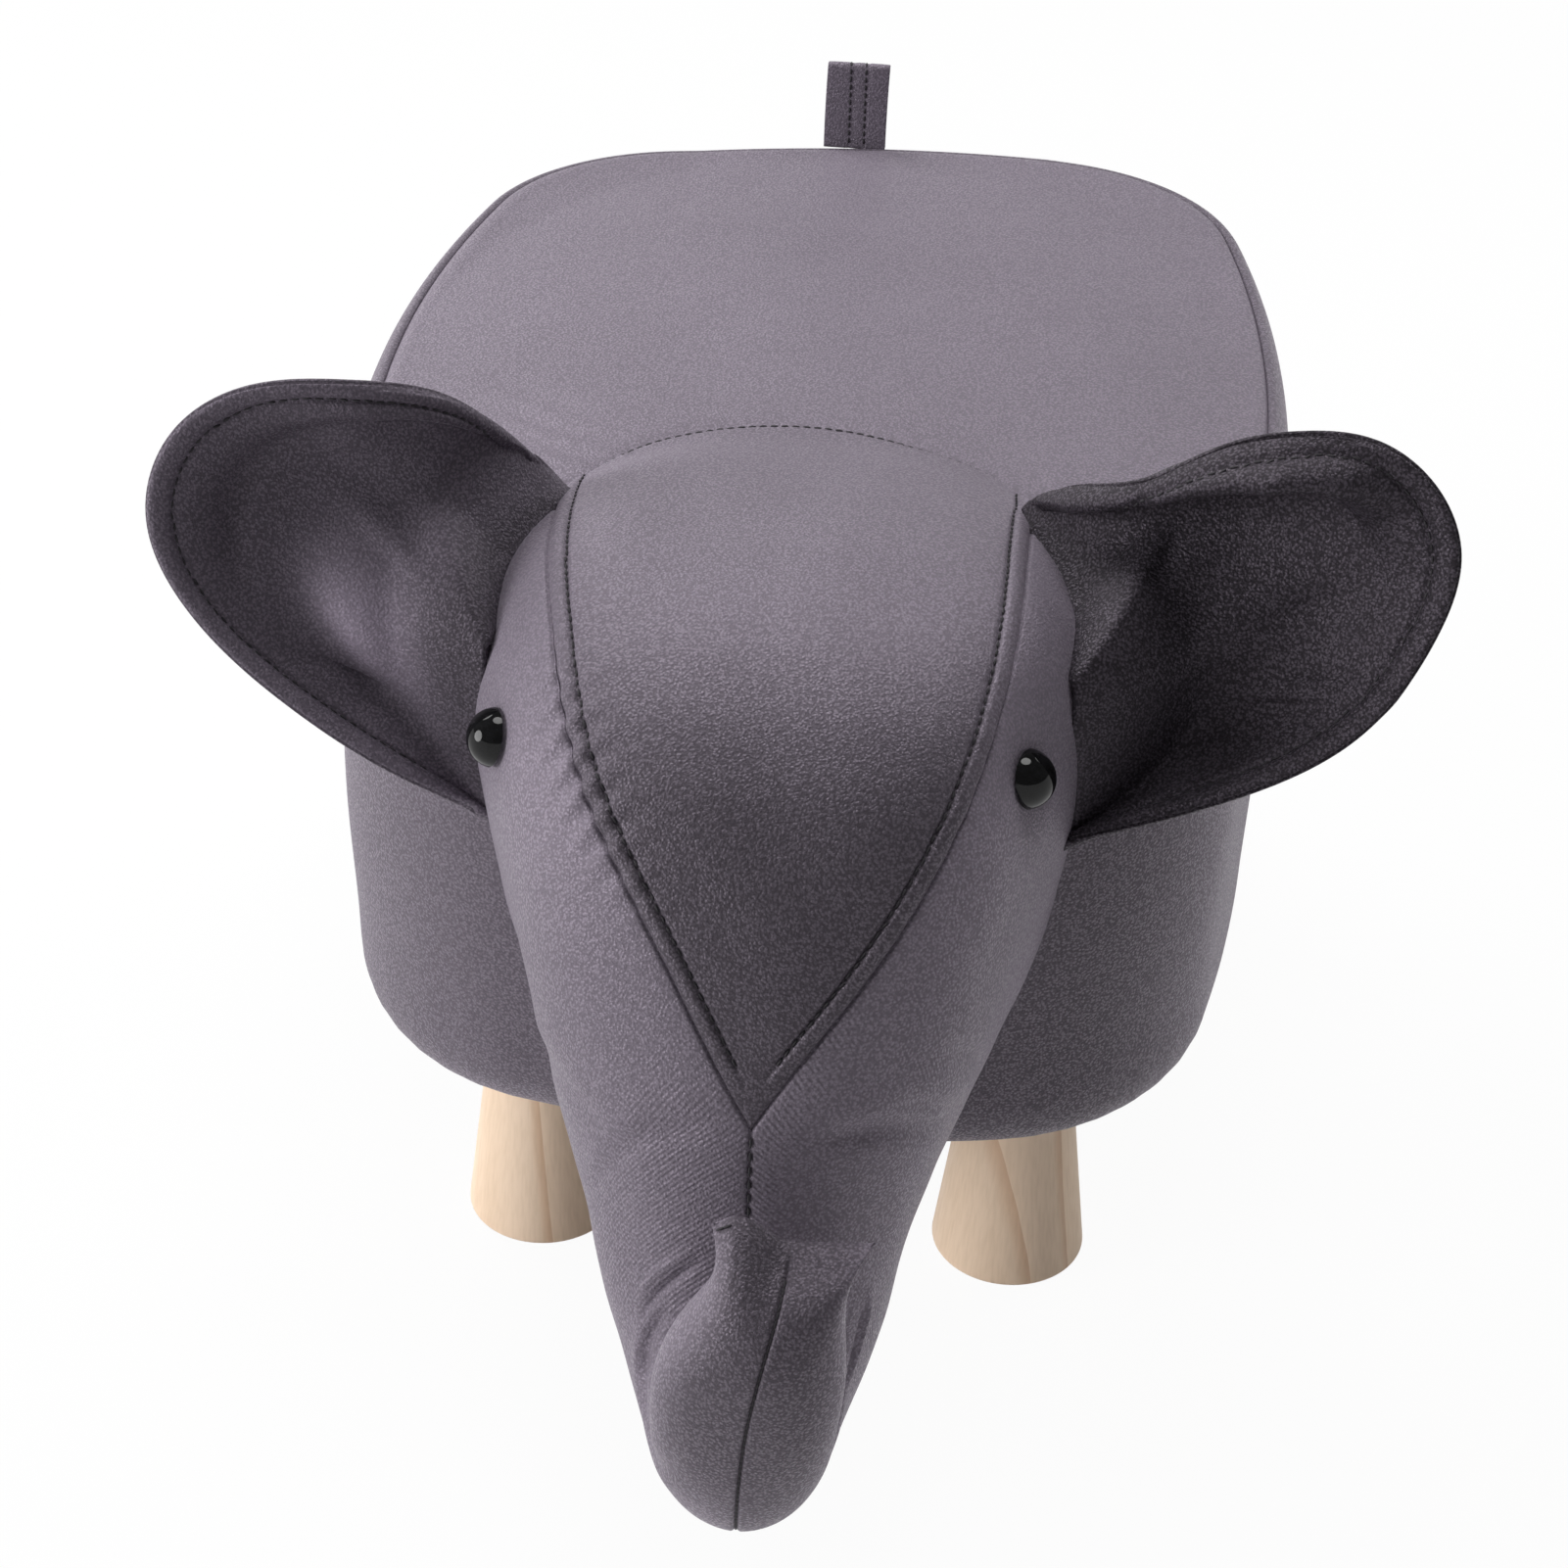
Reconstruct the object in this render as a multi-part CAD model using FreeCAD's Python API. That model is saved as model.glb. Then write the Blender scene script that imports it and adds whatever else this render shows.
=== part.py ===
"""Elephant footstool: an upholstered oval seat on four pine legs, with a stuffed head and trunk.

Millimetres. +Z up, the head looks along -Y, and the floor is at z = 0.
"""
import FreeCAD, Part
import math
import os

Vector = FreeCAD.Vector
Z_UP = Vector(0, 0, 1)
SIDES = {"left": -1, "right": 1}
ENDS = {"front": -1, "rear": 1}

# General fits
fit_gap = 0.3
drill_gap = 0.05
cut_overrun = 5.0

# Upholstered seat block
body_width = 300.0
body_length = 380.0
body_bottom = 91.0
seat_height = 270.0
seat_crown = 6.0
plan_corner_radius = 80.0
plan_side_turn = 12.0
top_edge_radius = 12.0
bottom_edge_radius = 17.0
edge_steps = 3
crown_scale_shares = [0.6, 0.25]
crown_rise_shares = [0.8, 1.0]

# Covers
cover_thickness = 1.2
seat_seam_drop = 4.0
cover_tuck = 36.0
dust_cover_thickness = 0.6

# Staples under the base
staple_count = 26
staple_length = 10.0
staple_depth = 8.0
staple_wire = 0.6

# Foam and timber frame
side_foam_thickness = 16.0
seat_foam_thickness = 34.0
wall_board_thickness = 3.0
base_board_thickness = 12.0
top_board_thickness = 9.0
post_size = 28.0
end_post_gap = 15.0
middle_post_gap = 3.0
end_post_spread_share = 0.45
screw_radius = 2.0
screw_head_radius = 4.0
screw_head_depth = 3.0
screw_length = 35.0

# Legs and their hardware
leg_foot_radius = 26.0
leg_top_radius = 15.0
leg_foot_round = 2.0
leg_side_inset = 70.0
leg_end_inset = 78.0
bolt_radius = 4.0
bolt_depth_in_leg = 36.0
tee_nut_barrel_radius = 5.5
tee_nut_barrel_length = 9.0
tee_nut_flange_radius = 11.0
tee_nut_flange_thickness = 1.5

# Head and trunk: reach in front of the seat block, rise over it and half width of the stuffed form
head_reach = 150.0
head_rise = 21.0
head_half_width = 90.0
# Each section runs from a front point to a back point:
# front reach, front height, back reach, back height, half width, corner
head_section_shares = [
    (-0.92, 0.935, -0.70, 0.52, 0.80, 0.40),
    (-0.62, 0.975, -0.36, 0.49, 0.92, 0.42),
    (-0.27, 1.00, -0.12, 0.45, 0.98, 0.45),
    (0.06, 0.985, -0.04, 0.41, 0.96, 0.45),
    (0.33, 0.905, -0.02, 0.365, 0.86, 0.48),
    (0.51, 0.775, 0.01, 0.33, 0.70, 0.75),
    (0.605, 0.635, 0.06, 0.30, 0.59, 0.85),
    (0.64, 0.53, 0.15, 0.265, 0.51, 0.85),
    (0.665, 0.45, 0.30, 0.22, 0.45, 0.85),
    (0.71, 0.39, 0.58, 0.185, 0.37, 0.85),
    (0.755, 0.415, 0.88, 0.24, 0.31, 0.85),
    (0.775, 0.495, 1.00, 0.395, 0.275, 0.80),
    (0.81, 0.605, 0.92, 0.61, 0.22, 0.75),
]
section_side_turn = 16.0
head_band_count = 6
trunk_band_count = 3
# Forehead seam, seen from above: half width and reach
forehead_half_width = 62.0
forehead_seam_shares = [
    (1.0, -0.90), (1.0, -0.10), (0.92, 0.18), (0.76, 0.34), (0.40, 0.51), (0.0, 0.625),
]

# Eyes
eye_radius = 8.5
eye_dome = 7.0
eye_stem_radius = 2.5
eye_stem_length = 16.0
eye_reach = 17.0
eye_height_share = 0.862
washer_radius = 8.0
washer_thickness = 1.5
washer_depth = 3.5

# Ears: the root line, the sheet and its outline
ear_ply = 1.5
ear_root_reach = -12.0
ear_root_rise = 22.0
ear_root_slope = 72.0
ear_back_turn = 4.0
ear_cup_radius = 240.0
ear_gap = 0.3
ear_width = 103.0
ear_length = 136.0
# Outline outward from the root and along it, each arc through a middle point
ear_arc_shares = [
    ((0.0, 0.02), (0.22, 0.21), (0.55, 0.285)),
    ((0.55, 0.285), (0.90, 0.20), (1.0, -0.05)),
    ((1.0, -0.05), (0.82, -0.33), (0.45, -0.53)),
    ((0.45, -0.53), (0.22, -0.595), (0.0, -0.61)),
]

# Tail: a strap folded over into a flat loop
tail_width = 23.0
tail_height = 33.0
tail_side_shift = -6.0
tail_strap = 1.2
tail_fold_gap = 1.0

# Levels that follow from the sizes above
base_bottom = body_bottom + cover_thickness
base_top = base_bottom + base_board_thickness
board_top = seat_height - cover_thickness - seat_foam_thickness
board_bottom = board_top - top_board_thickness
leg_top = base_bottom - dust_cover_thickness
seam_level = seat_height - seat_seam_drop
front_face = -body_length / 2
head_height = seat_height + head_rise
wall_inset = cover_thickness + side_foam_thickness + 2 * fit_gap
board_inset = wall_inset + wall_board_thickness + fit_gap
board_half_width = body_width / 2 - board_inset
board_half_length = body_length / 2 - board_inset
far = 2 * body_length


def oval(centre, u, v, half_u, half_v, corner, side_turn):
    """Closed oval of eight tangent arcs: four long sides that turn a little and four corners."""
    turn = math.radians(side_turn)
    sine = math.sin(turn)
    sag = 1 - math.cos(turn)
    spare_u = half_u - corner
    spare_v = half_v - corner
    spread = sine ** 2 - sag ** 2
    cu = (spare_u * sine - spare_v * sag) / spread * sine
    cv = (spare_v * sine - spare_u * sag) / spread * sine

    def place(a, b):
        return centre + u * a + v * b

    def on_corner(angle, su, sv):
        return place(su * (cu + corner * math.cos(angle)), sv * (cv + corner * math.sin(angle)))

    edges = []
    quarters = [(1, 1), (-1, 1), (-1, -1), (1, -1)]
    middles = [place(0, half_v), place(-half_u, 0), place(0, -half_v), place(half_u, 0)]
    near_side = turn
    near_end = math.pi / 2 - turn
    for index, (su, sv) in enumerate(quarters):
        first, last = (near_side, near_end) if su == sv else (near_end, near_side)
        start = on_corner(first, su, sv)
        end = on_corner(last, su, sv)
        edges.append(Part.Arc(start, on_corner(math.pi / 4, su, sv), end).toShape())
        next_u, next_v = quarters[(index + 1) % len(quarters)]
        onward = on_corner(near_side if next_u == next_v else near_end, next_u, next_v)
        edges.append(Part.Arc(end, middles[index], onward).toShape())
    return Part.Wire(edges)


def plan_oval(inset, z, scale=1.0):
    """The seat block's plan at one level, drawn in by an inset and then scaled."""
    return oval(
        Vector(0, 0, z), Vector(1, 0, 0), Vector(0, 1, 0),
        (body_width / 2 - inset) * scale, (body_length / 2 - inset) * scale,
        (plan_corner_radius - inset) * scale, plan_side_turn,
    )


def plan_prism(inset, low, high):
    """Upright slab with the seat block's plan."""
    return Part.Face(plan_oval(inset, low)).extrude(Z_UP * (high - low))


def body_form(inset):
    """The whole seat block, drawn in on every side by an inset."""
    wires = []
    low_round = bottom_edge_radius - inset
    for step in range(edge_steps + 1):
        turn = math.pi / 2 * step / edge_steps
        draw = low_round * (1 - math.sin(turn))
        wires.append(plan_oval(inset + draw, body_bottom + inset + low_round * (1 - math.cos(turn))))
    high_round = top_edge_radius - inset
    for step in range(edge_steps + 1):
        turn = math.pi / 2 * step / edge_steps
        draw = high_round * (1 - math.cos(turn))
        rise = high_round * (math.sin(turn) - 1)
        wires.append(plan_oval(inset + draw, seat_height - inset + rise))
    for scale, rise in zip(crown_scale_shares, crown_rise_shares):
        level = seat_height - inset + seat_crown * rise
        wires.append(plan_oval(top_edge_radius, level, scale))
    return Part.makeLoft(wires, True, True)


def slab(low, high):
    """Box that holds everything between two levels."""
    return Part.makeBox(2 * far, 2 * far, high - low, Vector(-far, -far, low))


def cylinder(radius, base, axis, length):
    """Round bar from a base point along an axis."""
    return Part.makeCylinder(radius, length, base, axis)


def leg_places():
    """Name and centre of each leg, at floor level."""
    for end, end_sign in ENDS.items():
        for side, side_sign in SIDES.items():
            x = side_sign * (body_width / 2 - leg_side_inset)
            y = end_sign * (body_length / 2 - leg_end_inset)
            yield f"{end}_{side}", Vector(x, y, 0)


def post_places():
    """Name and centre of each frame post, at floor level."""
    end_x = end_post_spread_share * board_half_width
    end_y = board_half_length - end_post_gap - post_size / 2
    middle_x = board_half_width - middle_post_gap - post_size / 2
    for end, end_sign in ENDS.items():
        for side, side_sign in SIDES.items():
            yield f"{end}_{side}", Vector(side_sign * end_x, end_sign * end_y, 0)
    for side, side_sign in SIDES.items():
        yield f"middle_{side}", Vector(side_sign * middle_x, 0, 0)


def screw(head, axis, gap):
    """Countersunk screw, or its hole when a gap is added to its radii."""
    cone = Part.makeCone(screw_head_radius + gap, screw_radius + gap, screw_head_depth, head, axis)
    return cone.fuse(cylinder(screw_radius + gap, head, axis, screw_length + gap)).removeSplitter()


def screws_at(level, axis, gap):
    """One screw at each post, from a board's outer face."""
    return [screw(centre + Z_UP * level, axis, gap) for _, centre in post_places()]


def frame():
    """Boards, posts and screws of the timber frame, and the board bent round it."""
    top_holes = Part.makeCompound(screws_at(board_top, -Z_UP, drill_gap))
    base_holes = Part.makeCompound(screws_at(base_bottom, Z_UP, drill_gap))
    nut_holes = [
        cylinder(tee_nut_barrel_radius + drill_gap, centre + Z_UP * (base_bottom - cut_overrun), Z_UP,
                 base_board_thickness + 2 * cut_overrun)
        for _, centre in leg_places()
    ]
    base = plan_prism(board_inset, base_bottom, base_top).cut([base_holes] + nut_holes + staples())
    top = plan_prism(board_inset, board_bottom, board_top).cut(top_holes)
    wall = plan_prism(wall_inset, base_bottom, board_top).cut(
        plan_prism(wall_inset + wall_board_thickness, base_bottom - cut_overrun, board_top + cut_overrun))
    nodes = {
        "base_board": base,
        "top_board": top,
        "wall_board": wall,
        "top_screws": Part.makeCompound(screws_at(board_top, -Z_UP, 0)),
        "base_screws": Part.makeCompound(screws_at(base_bottom, Z_UP, 0)),
    }
    for name, centre in post_places():
        corner = centre + Vector(-post_size / 2, -post_size / 2, base_top)
        post = Part.makeBox(post_size, post_size, board_bottom - base_top, corner)
        nodes[f"{name}_post"] = post.cut([top_holes, base_holes])
    return nodes


def staples():
    """Staples that hold the tucked cover to the base, each a bent wire."""
    middle_inset = (bottom_edge_radius + cover_tuck) / 2
    points = plan_oval(middle_inset, body_bottom).discretize(Number=staple_count + 1)[:-1]
    parts = []
    for index, point in enumerate(points):
        along = points[(index + 1) % staple_count] - points[index - 1]
        crown = Part.makeBox(staple_length, staple_wire, staple_wire,
                             Vector(-staple_length / 2, -staple_wire / 2, -staple_wire))
        prongs = [
            Part.makeBox(staple_wire, staple_wire, staple_depth + staple_wire,
                         Vector(x, -staple_wire / 2, -staple_wire))
            for x in (-staple_length / 2, staple_length / 2 - staple_wire)
        ]
        shape = crown.fuse(prongs).removeSplitter()
        shape.rotate(Vector(), Z_UP, math.degrees(math.atan2(along.y, along.x)))
        shape.translate(point)
        parts.append(shape)
    return parts


def upholstery():
    """Foam and the sewn cover of the seat block, with the dust cover below."""
    shell = body_form(0).cut(body_form(cover_thickness))
    opening = plan_prism(cover_tuck, body_bottom - cut_overrun, base_bottom + cut_overrun)
    foam = body_form(cover_thickness + fit_gap)
    core = plan_prism(wall_inset - fit_gap, body_bottom - cut_overrun, board_top + cut_overrun)
    dust = plan_prism(cover_tuck + fit_gap, leg_top, base_bottom)
    bolt_holes = [
        cylinder(bolt_radius + fit_gap, centre + Z_UP * (leg_top - cut_overrun), Z_UP,
                 dust_cover_thickness + 2 * cut_overrun)
        for _, centre in leg_places()
    ]
    return {
        "seat_panel": shell.common(slab(seam_level, far)),
        "side_panel": shell.common(slab(0, seam_level)).cut([opening] + staples()),
        "seat_foam": foam.common(slab(board_top, far)),
        "side_foam": foam.common(slab(0, board_top)).cut(core),
        "dust_cover": dust.cut(bolt_holes),
        "staples": Part.makeCompound(staples()),
    }


def legs():
    """Turned legs with the bolts and tee nuts that hold them to the base."""
    nodes = {}
    bolts = []
    nuts = []
    bolt_low = leg_top - bolt_depth_in_leg
    bolt_high = base_top + tee_nut_flange_thickness
    for name, centre in leg_places():
        leg = Part.makeCone(leg_foot_radius, leg_top_radius, leg_top, centre)
        low_edges = [edge for edge in leg.Edges if edge.BoundBox.ZMax < leg_foot_round]
        foot_edge = [edge for edge in low_edges if not edge.isSeam(leg.Faces[0])]
        leg = leg.makeFillet(leg_foot_round, foot_edge)
        hole = cylinder(bolt_radius + drill_gap, centre + Z_UP * (bolt_low - drill_gap), Z_UP,
                        bolt_depth_in_leg + cut_overrun)
        nodes[f"{name}_leg"] = leg.cut(hole)
        bolts.append(cylinder(bolt_radius, centre + Z_UP * bolt_low, Z_UP, bolt_high - bolt_low))
        barrel = cylinder(tee_nut_barrel_radius, centre + Z_UP * (base_top - tee_nut_barrel_length), Z_UP,
                          tee_nut_barrel_length)
        flange = cylinder(tee_nut_flange_radius, centre + Z_UP * base_top, Z_UP, tee_nut_flange_thickness)
        bore = cylinder(bolt_radius + drill_gap, centre, Z_UP, far)
        nuts.append(barrel.fuse(flange).cut(bore))
    nodes["leg_bolts"] = Part.makeCompound(bolts)
    nodes["tee_nuts"] = Part.makeCompound(nuts)
    return nodes


def head_point(reach_share, height_share):
    """Point on the middle plane of the head."""
    return Vector(0, front_face - reach_share * head_reach, height_share * head_height)


def head_section(station, inset):
    """One closed section of the head and trunk, drawn in by an inset."""
    front_reach, front_height, back_reach, back_height, width, corner = head_section_shares[station]
    front = head_point(front_reach, front_height)
    back = head_point(back_reach, back_height)
    middle = (front + back) / 2
    across = Vector(1, 0, 0)
    upward = front - back
    half_height = upward.Length / 2 - inset
    half_width = head_half_width * width - inset
    if station == len(head_section_shares) - 1:
        middle = middle - across.cross(upward).normalize() * inset
    radius = corner * min(half_height, half_width)
    return oval(middle, across, upward.normalize(), half_width, half_height, radius, section_side_turn)


def head_form(inset, first=0, last=len(head_section_shares) - 1):
    """Head and trunk as a swelling and tapering form between two of their sections."""
    sections = [head_section(station, inset) for station in range(first, last + 1)]
    return Part.makeLoft(sections, True, True)


def surface_point(form, inside, direction):
    """Where a line from a point inside a form leaves it, and the outward normal there."""
    line = Part.makeLine(inside, inside + direction * far).common(form)
    point = max((vertex.Point for vertex in line.Vertexes), key=lambda spot: (spot - inside).Length)
    face = min(form.Faces, key=lambda candidate: candidate.distToShape(Part.Vertex(point))[0])
    return point, face.normalAt(*face.Surface.parameter(point))


def eye(point, axis):
    """Domed eye with its stem."""
    sphere_radius = (eye_radius ** 2 + eye_dome ** 2) / (2 * eye_dome)
    sphere = Part.makeSphere(sphere_radius, point + axis * (eye_dome - sphere_radius))
    dome = sphere.common(cylinder(eye_radius + cut_overrun, point, axis, eye_dome + cut_overrun))
    return dome.fuse(cylinder(eye_stem_radius, point, -axis, eye_stem_length)).removeSplitter()


def head():
    """Filling, cover panels, eyes and washers of the head and trunk."""
    outer = head_form(0)
    block = body_form(-fit_gap)
    shell = outer.cut([head_form(cover_thickness), block])
    filling_inset = cover_thickness + fit_gap
    tip_start = head_band_count + trunk_band_count
    filling = head_form(filling_inset, 0, head_band_count).cut(block)
    trunk = head_form(filling_inset, head_band_count, tip_start).cut(block)
    eyes = {}
    washers = []
    for side, sign in SIDES.items():
        eye_centre = Vector(0, front_face - eye_reach, eye_height_share * head_height)
        point, axis = surface_point(outer, eye_centre, Vector(sign, 0, 0))
        eyes[f"{side}_eye"] = eye(point + axis * drill_gap, axis)
        stem_hole = cylinder(eye_stem_radius + fit_gap, point + axis * cut_overrun, -axis,
                             eye_stem_length + cut_overrun + fit_gap)
        washer = cylinder(washer_radius, point - axis * washer_depth, -axis, washer_thickness)
        washers.append(washer.cut(cylinder(eye_stem_radius + drill_gap, point, -axis, eye_stem_length)))
        pocket = cylinder(washer_radius + fit_gap, point, -axis, washer_depth + washer_thickness + fit_gap)
        shell = shell.cut(stem_hole)
        filling = filling.cut([stem_hole, pocket])

    seam = [Vector(x * forehead_half_width, front_face - y * head_reach, 0) for x, y in forehead_seam_shares]
    seam += [Vector(-point.x, point.y, 0) for point in reversed(seam[:-1])]
    panel_low = head_section_shares[head_band_count][1] * head_height - cut_overrun
    pattern = Part.Face(Part.makePolygon(seam + seam[:1]))
    pattern.translate(Z_UP * panel_low)
    pattern = pattern.extrude(Z_UP * far)
    faces = shell.cut(pattern)
    right_half = Part.makeBox(far, 2 * far, far, Vector(0, -far, 0))
    nodes = {
        "forehead_panel": shell.common(pattern),
        "right_face_panel": faces.common(right_half),
        "left_face_panel": faces.cut(right_half),
        "head_filling": filling,
        "trunk_filling": trunk,
        "trunk_tip_filling": head_form(filling_inset, tip_start),
        "eye_washers": Part.makeCompound(washers),
    }
    nodes.update(eyes)
    return nodes


def ear_frame(side):
    """Root point and the outward, along-root and facing directions of one ear, clear of the head."""
    slope = math.radians(ear_root_slope)
    along = Vector(0, math.cos(slope), math.sin(slope))
    flat = Vector(side, 0, 0)
    facing = Vector(0, -math.sin(slope), math.cos(slope))
    turn = math.radians(ear_back_turn)
    outward = flat * math.cos(turn) - facing * math.sin(turn)
    facing = facing * math.cos(turn) + flat * math.sin(turn)
    root = Vector(side * head_half_width, front_face - ear_root_reach, seat_height + ear_root_rise)
    return root, outward, along, facing


def ear_ply_solid(root, outward, along, facing, depth):
    """One cupped ply of an ear, a given depth behind the front face."""
    def place(shares):
        return root + outward * (shares[0] * ear_width) + along * (shares[1] * ear_length)

    edges = [Part.Arc(place(a), place(b), place(c)).toShape() for a, b, c in ear_arc_shares]
    edges.append(Part.makeLine(place(ear_arc_shares[-1][2]), place(ear_arc_shares[0][0])))
    blank = Part.Face(Part.Wire(edges))
    blank.translate(facing * -ear_width)
    blank = blank.extrude(facing * 2 * ear_width)
    foot = root + facing * ear_cup_radius - along * far
    outer = cylinder(ear_cup_radius + depth + ear_ply, foot, along, 2 * far)
    return blank.common(outer.cut(cylinder(ear_cup_radius + depth, foot, along, 2 * far)))


def nearest_piece(shape, point):
    """The solid of a shape that lies nearest a point."""
    return min(shape.Solids, key=lambda solid: solid.distToShape(Part.Vertex(point))[0])


def ears():
    """Both ears, each a front and a back ply sewn along the edge, seated beside the head."""
    nodes = {}
    head_outside = head_form(0)
    for side, sign in SIDES.items():
        root, outward, along, facing = ear_frame(sign)
        plies = {}
        for ply, depth in (("front", 0), ("back", ear_ply + fit_gap)):
            sheet = ear_ply_solid(root, outward, along, facing, depth)
            plies[f"{side}_ear_{ply}"] = nearest_piece(sheet, root)
        spare = min(sheet.distToShape(head_outside)[0] for sheet in plies.values()) - ear_gap
        inward = Vector(-sign * spare, 0, 0)
        for sheet in plies.values():
            sheet.translate(inward)
        nodes.update(plies)
        print(side, "ear hinge", root + inward, along)
    return nodes


def tail():
    """Flat loop of strap that stands in the seam at the rear edge of the seat."""
    half = tail_strap + tail_fold_gap / 2
    edge_centre_y = body_length / 2 - top_edge_radius
    edge_centre_z = seat_height - top_edge_radius
    middle_y = edge_centre_y + math.sqrt(top_edge_radius ** 2 - (seam_level - edge_centre_z) ** 2)
    front_y = middle_y - half
    low = edge_centre_z + math.sqrt(top_edge_radius ** 2 - (front_y - edge_centre_y) ** 2) + fit_gap
    high = low + tail_height - half
    x = tail_side_shift - tail_width / 2

    def bend(radius):
        rounds = ((-radius, low), (-radius, high), (radius, high), (radius, low))
        corners = [Vector(x, middle_y + offset, level) for offset, level in rounds]
        top = Part.Arc(corners[1], Vector(x, middle_y, high + radius), corners[2]).toShape()
        rises = [Part.makeLine(corners[0], corners[1]), top, Part.makeLine(corners[2], corners[3])]
        wire = Part.Wire(rises + [Part.makeLine(corners[3], corners[0])])
        return Part.Face(wire).extrude(Vector(tail_width, 0, 0))

    print("tail hinge", front_y, low)
    return {"tail_loop": bend(half).cut(bend(tail_fold_gap / 2))}


def build():
    """Every piece by name, centred over the origin along Y."""
    nodes = {}
    for section in (frame, upholstery, legs, head, ears, tail):
        nodes.update(section())
    box = Part.makeCompound(list(nodes.values())).optimalBoundingBox()
    shift = Vector(0, -(box.YMin + box.YMax) / 2, 0)
    print("shift", shift, "size", box.XLength, box.YLength, box.ZLength)
    for shape in nodes.values():
        shape.translate(shift)
    return nodes


os.makedirs("parts", exist_ok=True)
for name, shape in build().items():
    print(name, len(shape.Solids), round(shape.Volume, 1), shape.isValid())
    shape.exportStep(os.path.join("parts", name + ".step"))
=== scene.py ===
import bpy
import numpy as np
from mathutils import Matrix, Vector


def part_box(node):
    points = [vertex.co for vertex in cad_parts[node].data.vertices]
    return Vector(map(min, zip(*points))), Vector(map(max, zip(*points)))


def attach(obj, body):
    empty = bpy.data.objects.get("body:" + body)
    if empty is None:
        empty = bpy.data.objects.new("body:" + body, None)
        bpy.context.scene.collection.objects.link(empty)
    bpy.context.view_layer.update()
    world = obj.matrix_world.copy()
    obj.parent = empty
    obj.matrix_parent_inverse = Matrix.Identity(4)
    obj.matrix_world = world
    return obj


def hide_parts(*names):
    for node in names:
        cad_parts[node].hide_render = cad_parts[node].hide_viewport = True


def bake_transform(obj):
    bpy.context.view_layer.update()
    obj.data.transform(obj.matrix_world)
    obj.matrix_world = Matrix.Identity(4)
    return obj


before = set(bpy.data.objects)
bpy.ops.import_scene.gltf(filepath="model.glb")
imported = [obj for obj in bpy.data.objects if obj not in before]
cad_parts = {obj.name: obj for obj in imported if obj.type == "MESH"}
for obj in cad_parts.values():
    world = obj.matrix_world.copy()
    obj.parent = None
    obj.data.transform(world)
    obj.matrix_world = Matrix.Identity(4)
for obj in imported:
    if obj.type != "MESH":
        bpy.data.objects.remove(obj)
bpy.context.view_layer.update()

# Elephant footstool: covers, ears, tail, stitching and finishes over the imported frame.
# Shapes are worked out in millimetres and go into the meshes in metres.
MM = 0.001
SIDES = {"left": -1, "right": 1}

# Seat block: half width, half length, middle and levels of its cover
BLOCK_LOW, BLOCK_HIGH = (np.array(corner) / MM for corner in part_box("side_panel"))
SEAT_HIGH = np.array(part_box("seat_panel")[1]) / MM
HALF_WIDTH = (BLOCK_HIGH[0] - BLOCK_LOW[0]) / 2
HALF_LENGTH = (BLOCK_HIGH[1] - BLOCK_LOW[1]) / 2
BLOCK_Y = (BLOCK_HIGH[1] + BLOCK_LOW[1]) / 2
BLOCK_BOTTOM = BLOCK_LOW[2]
SEAM_LEVEL = BLOCK_HIGH[2]
SEAT_CROWN = 6.0
SEAT_FALL = 2.2
SEAT_LEVEL = SEAT_HIGH[2] - SEAT_CROWN
PLAN_CORNER = 80.0
PLAN_SIDE_TURN = np.radians(12.0)
EDGE_ROUND = 12.0
BLOCK_COLUMNS = 300
SEAM_INSET = 7.0
LOW_ROUND = 17.0
COVER_TUCK = 36.0
BOARD_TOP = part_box("seat_foam")[0].z / MM
WALL_INSET = 17.5
# Rear top edge: rise on the right and fall on the left, and how far it reaches across and down
REAR_TILT = 2.6
REAR_TILT_ACROSS = 65.0
REAR_TILT_DOWN = 60.0
# Soft unevenness: height, length and seed of each wave
SEAT_WAVES = [(0.9, 110.0, 3), (0.25, 34.0, 4)]
SIDE_WAVES = [(0.9, 120.0, 5)]
SIDE_RIPPLES = [(0.35, 42.0, 6)]
CLOTH_RIPPLES = [(0.12, 40.0, 8)]
HEAD_WAVES = [(0.9, 70.0, 11), (0.25, 22.0, 12)]
# Pulled wrinkles of the seat beside the left ear: middle, spread, height and length
WRINKLE_PLACE = (-92.0, -6.0)
WRINKLE_SPREAD = 34.0
WRINKLE_HEIGHT = 0.6
WRINKLE_LENGTH = 13.0
SIDE_GATHERS = 40

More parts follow.
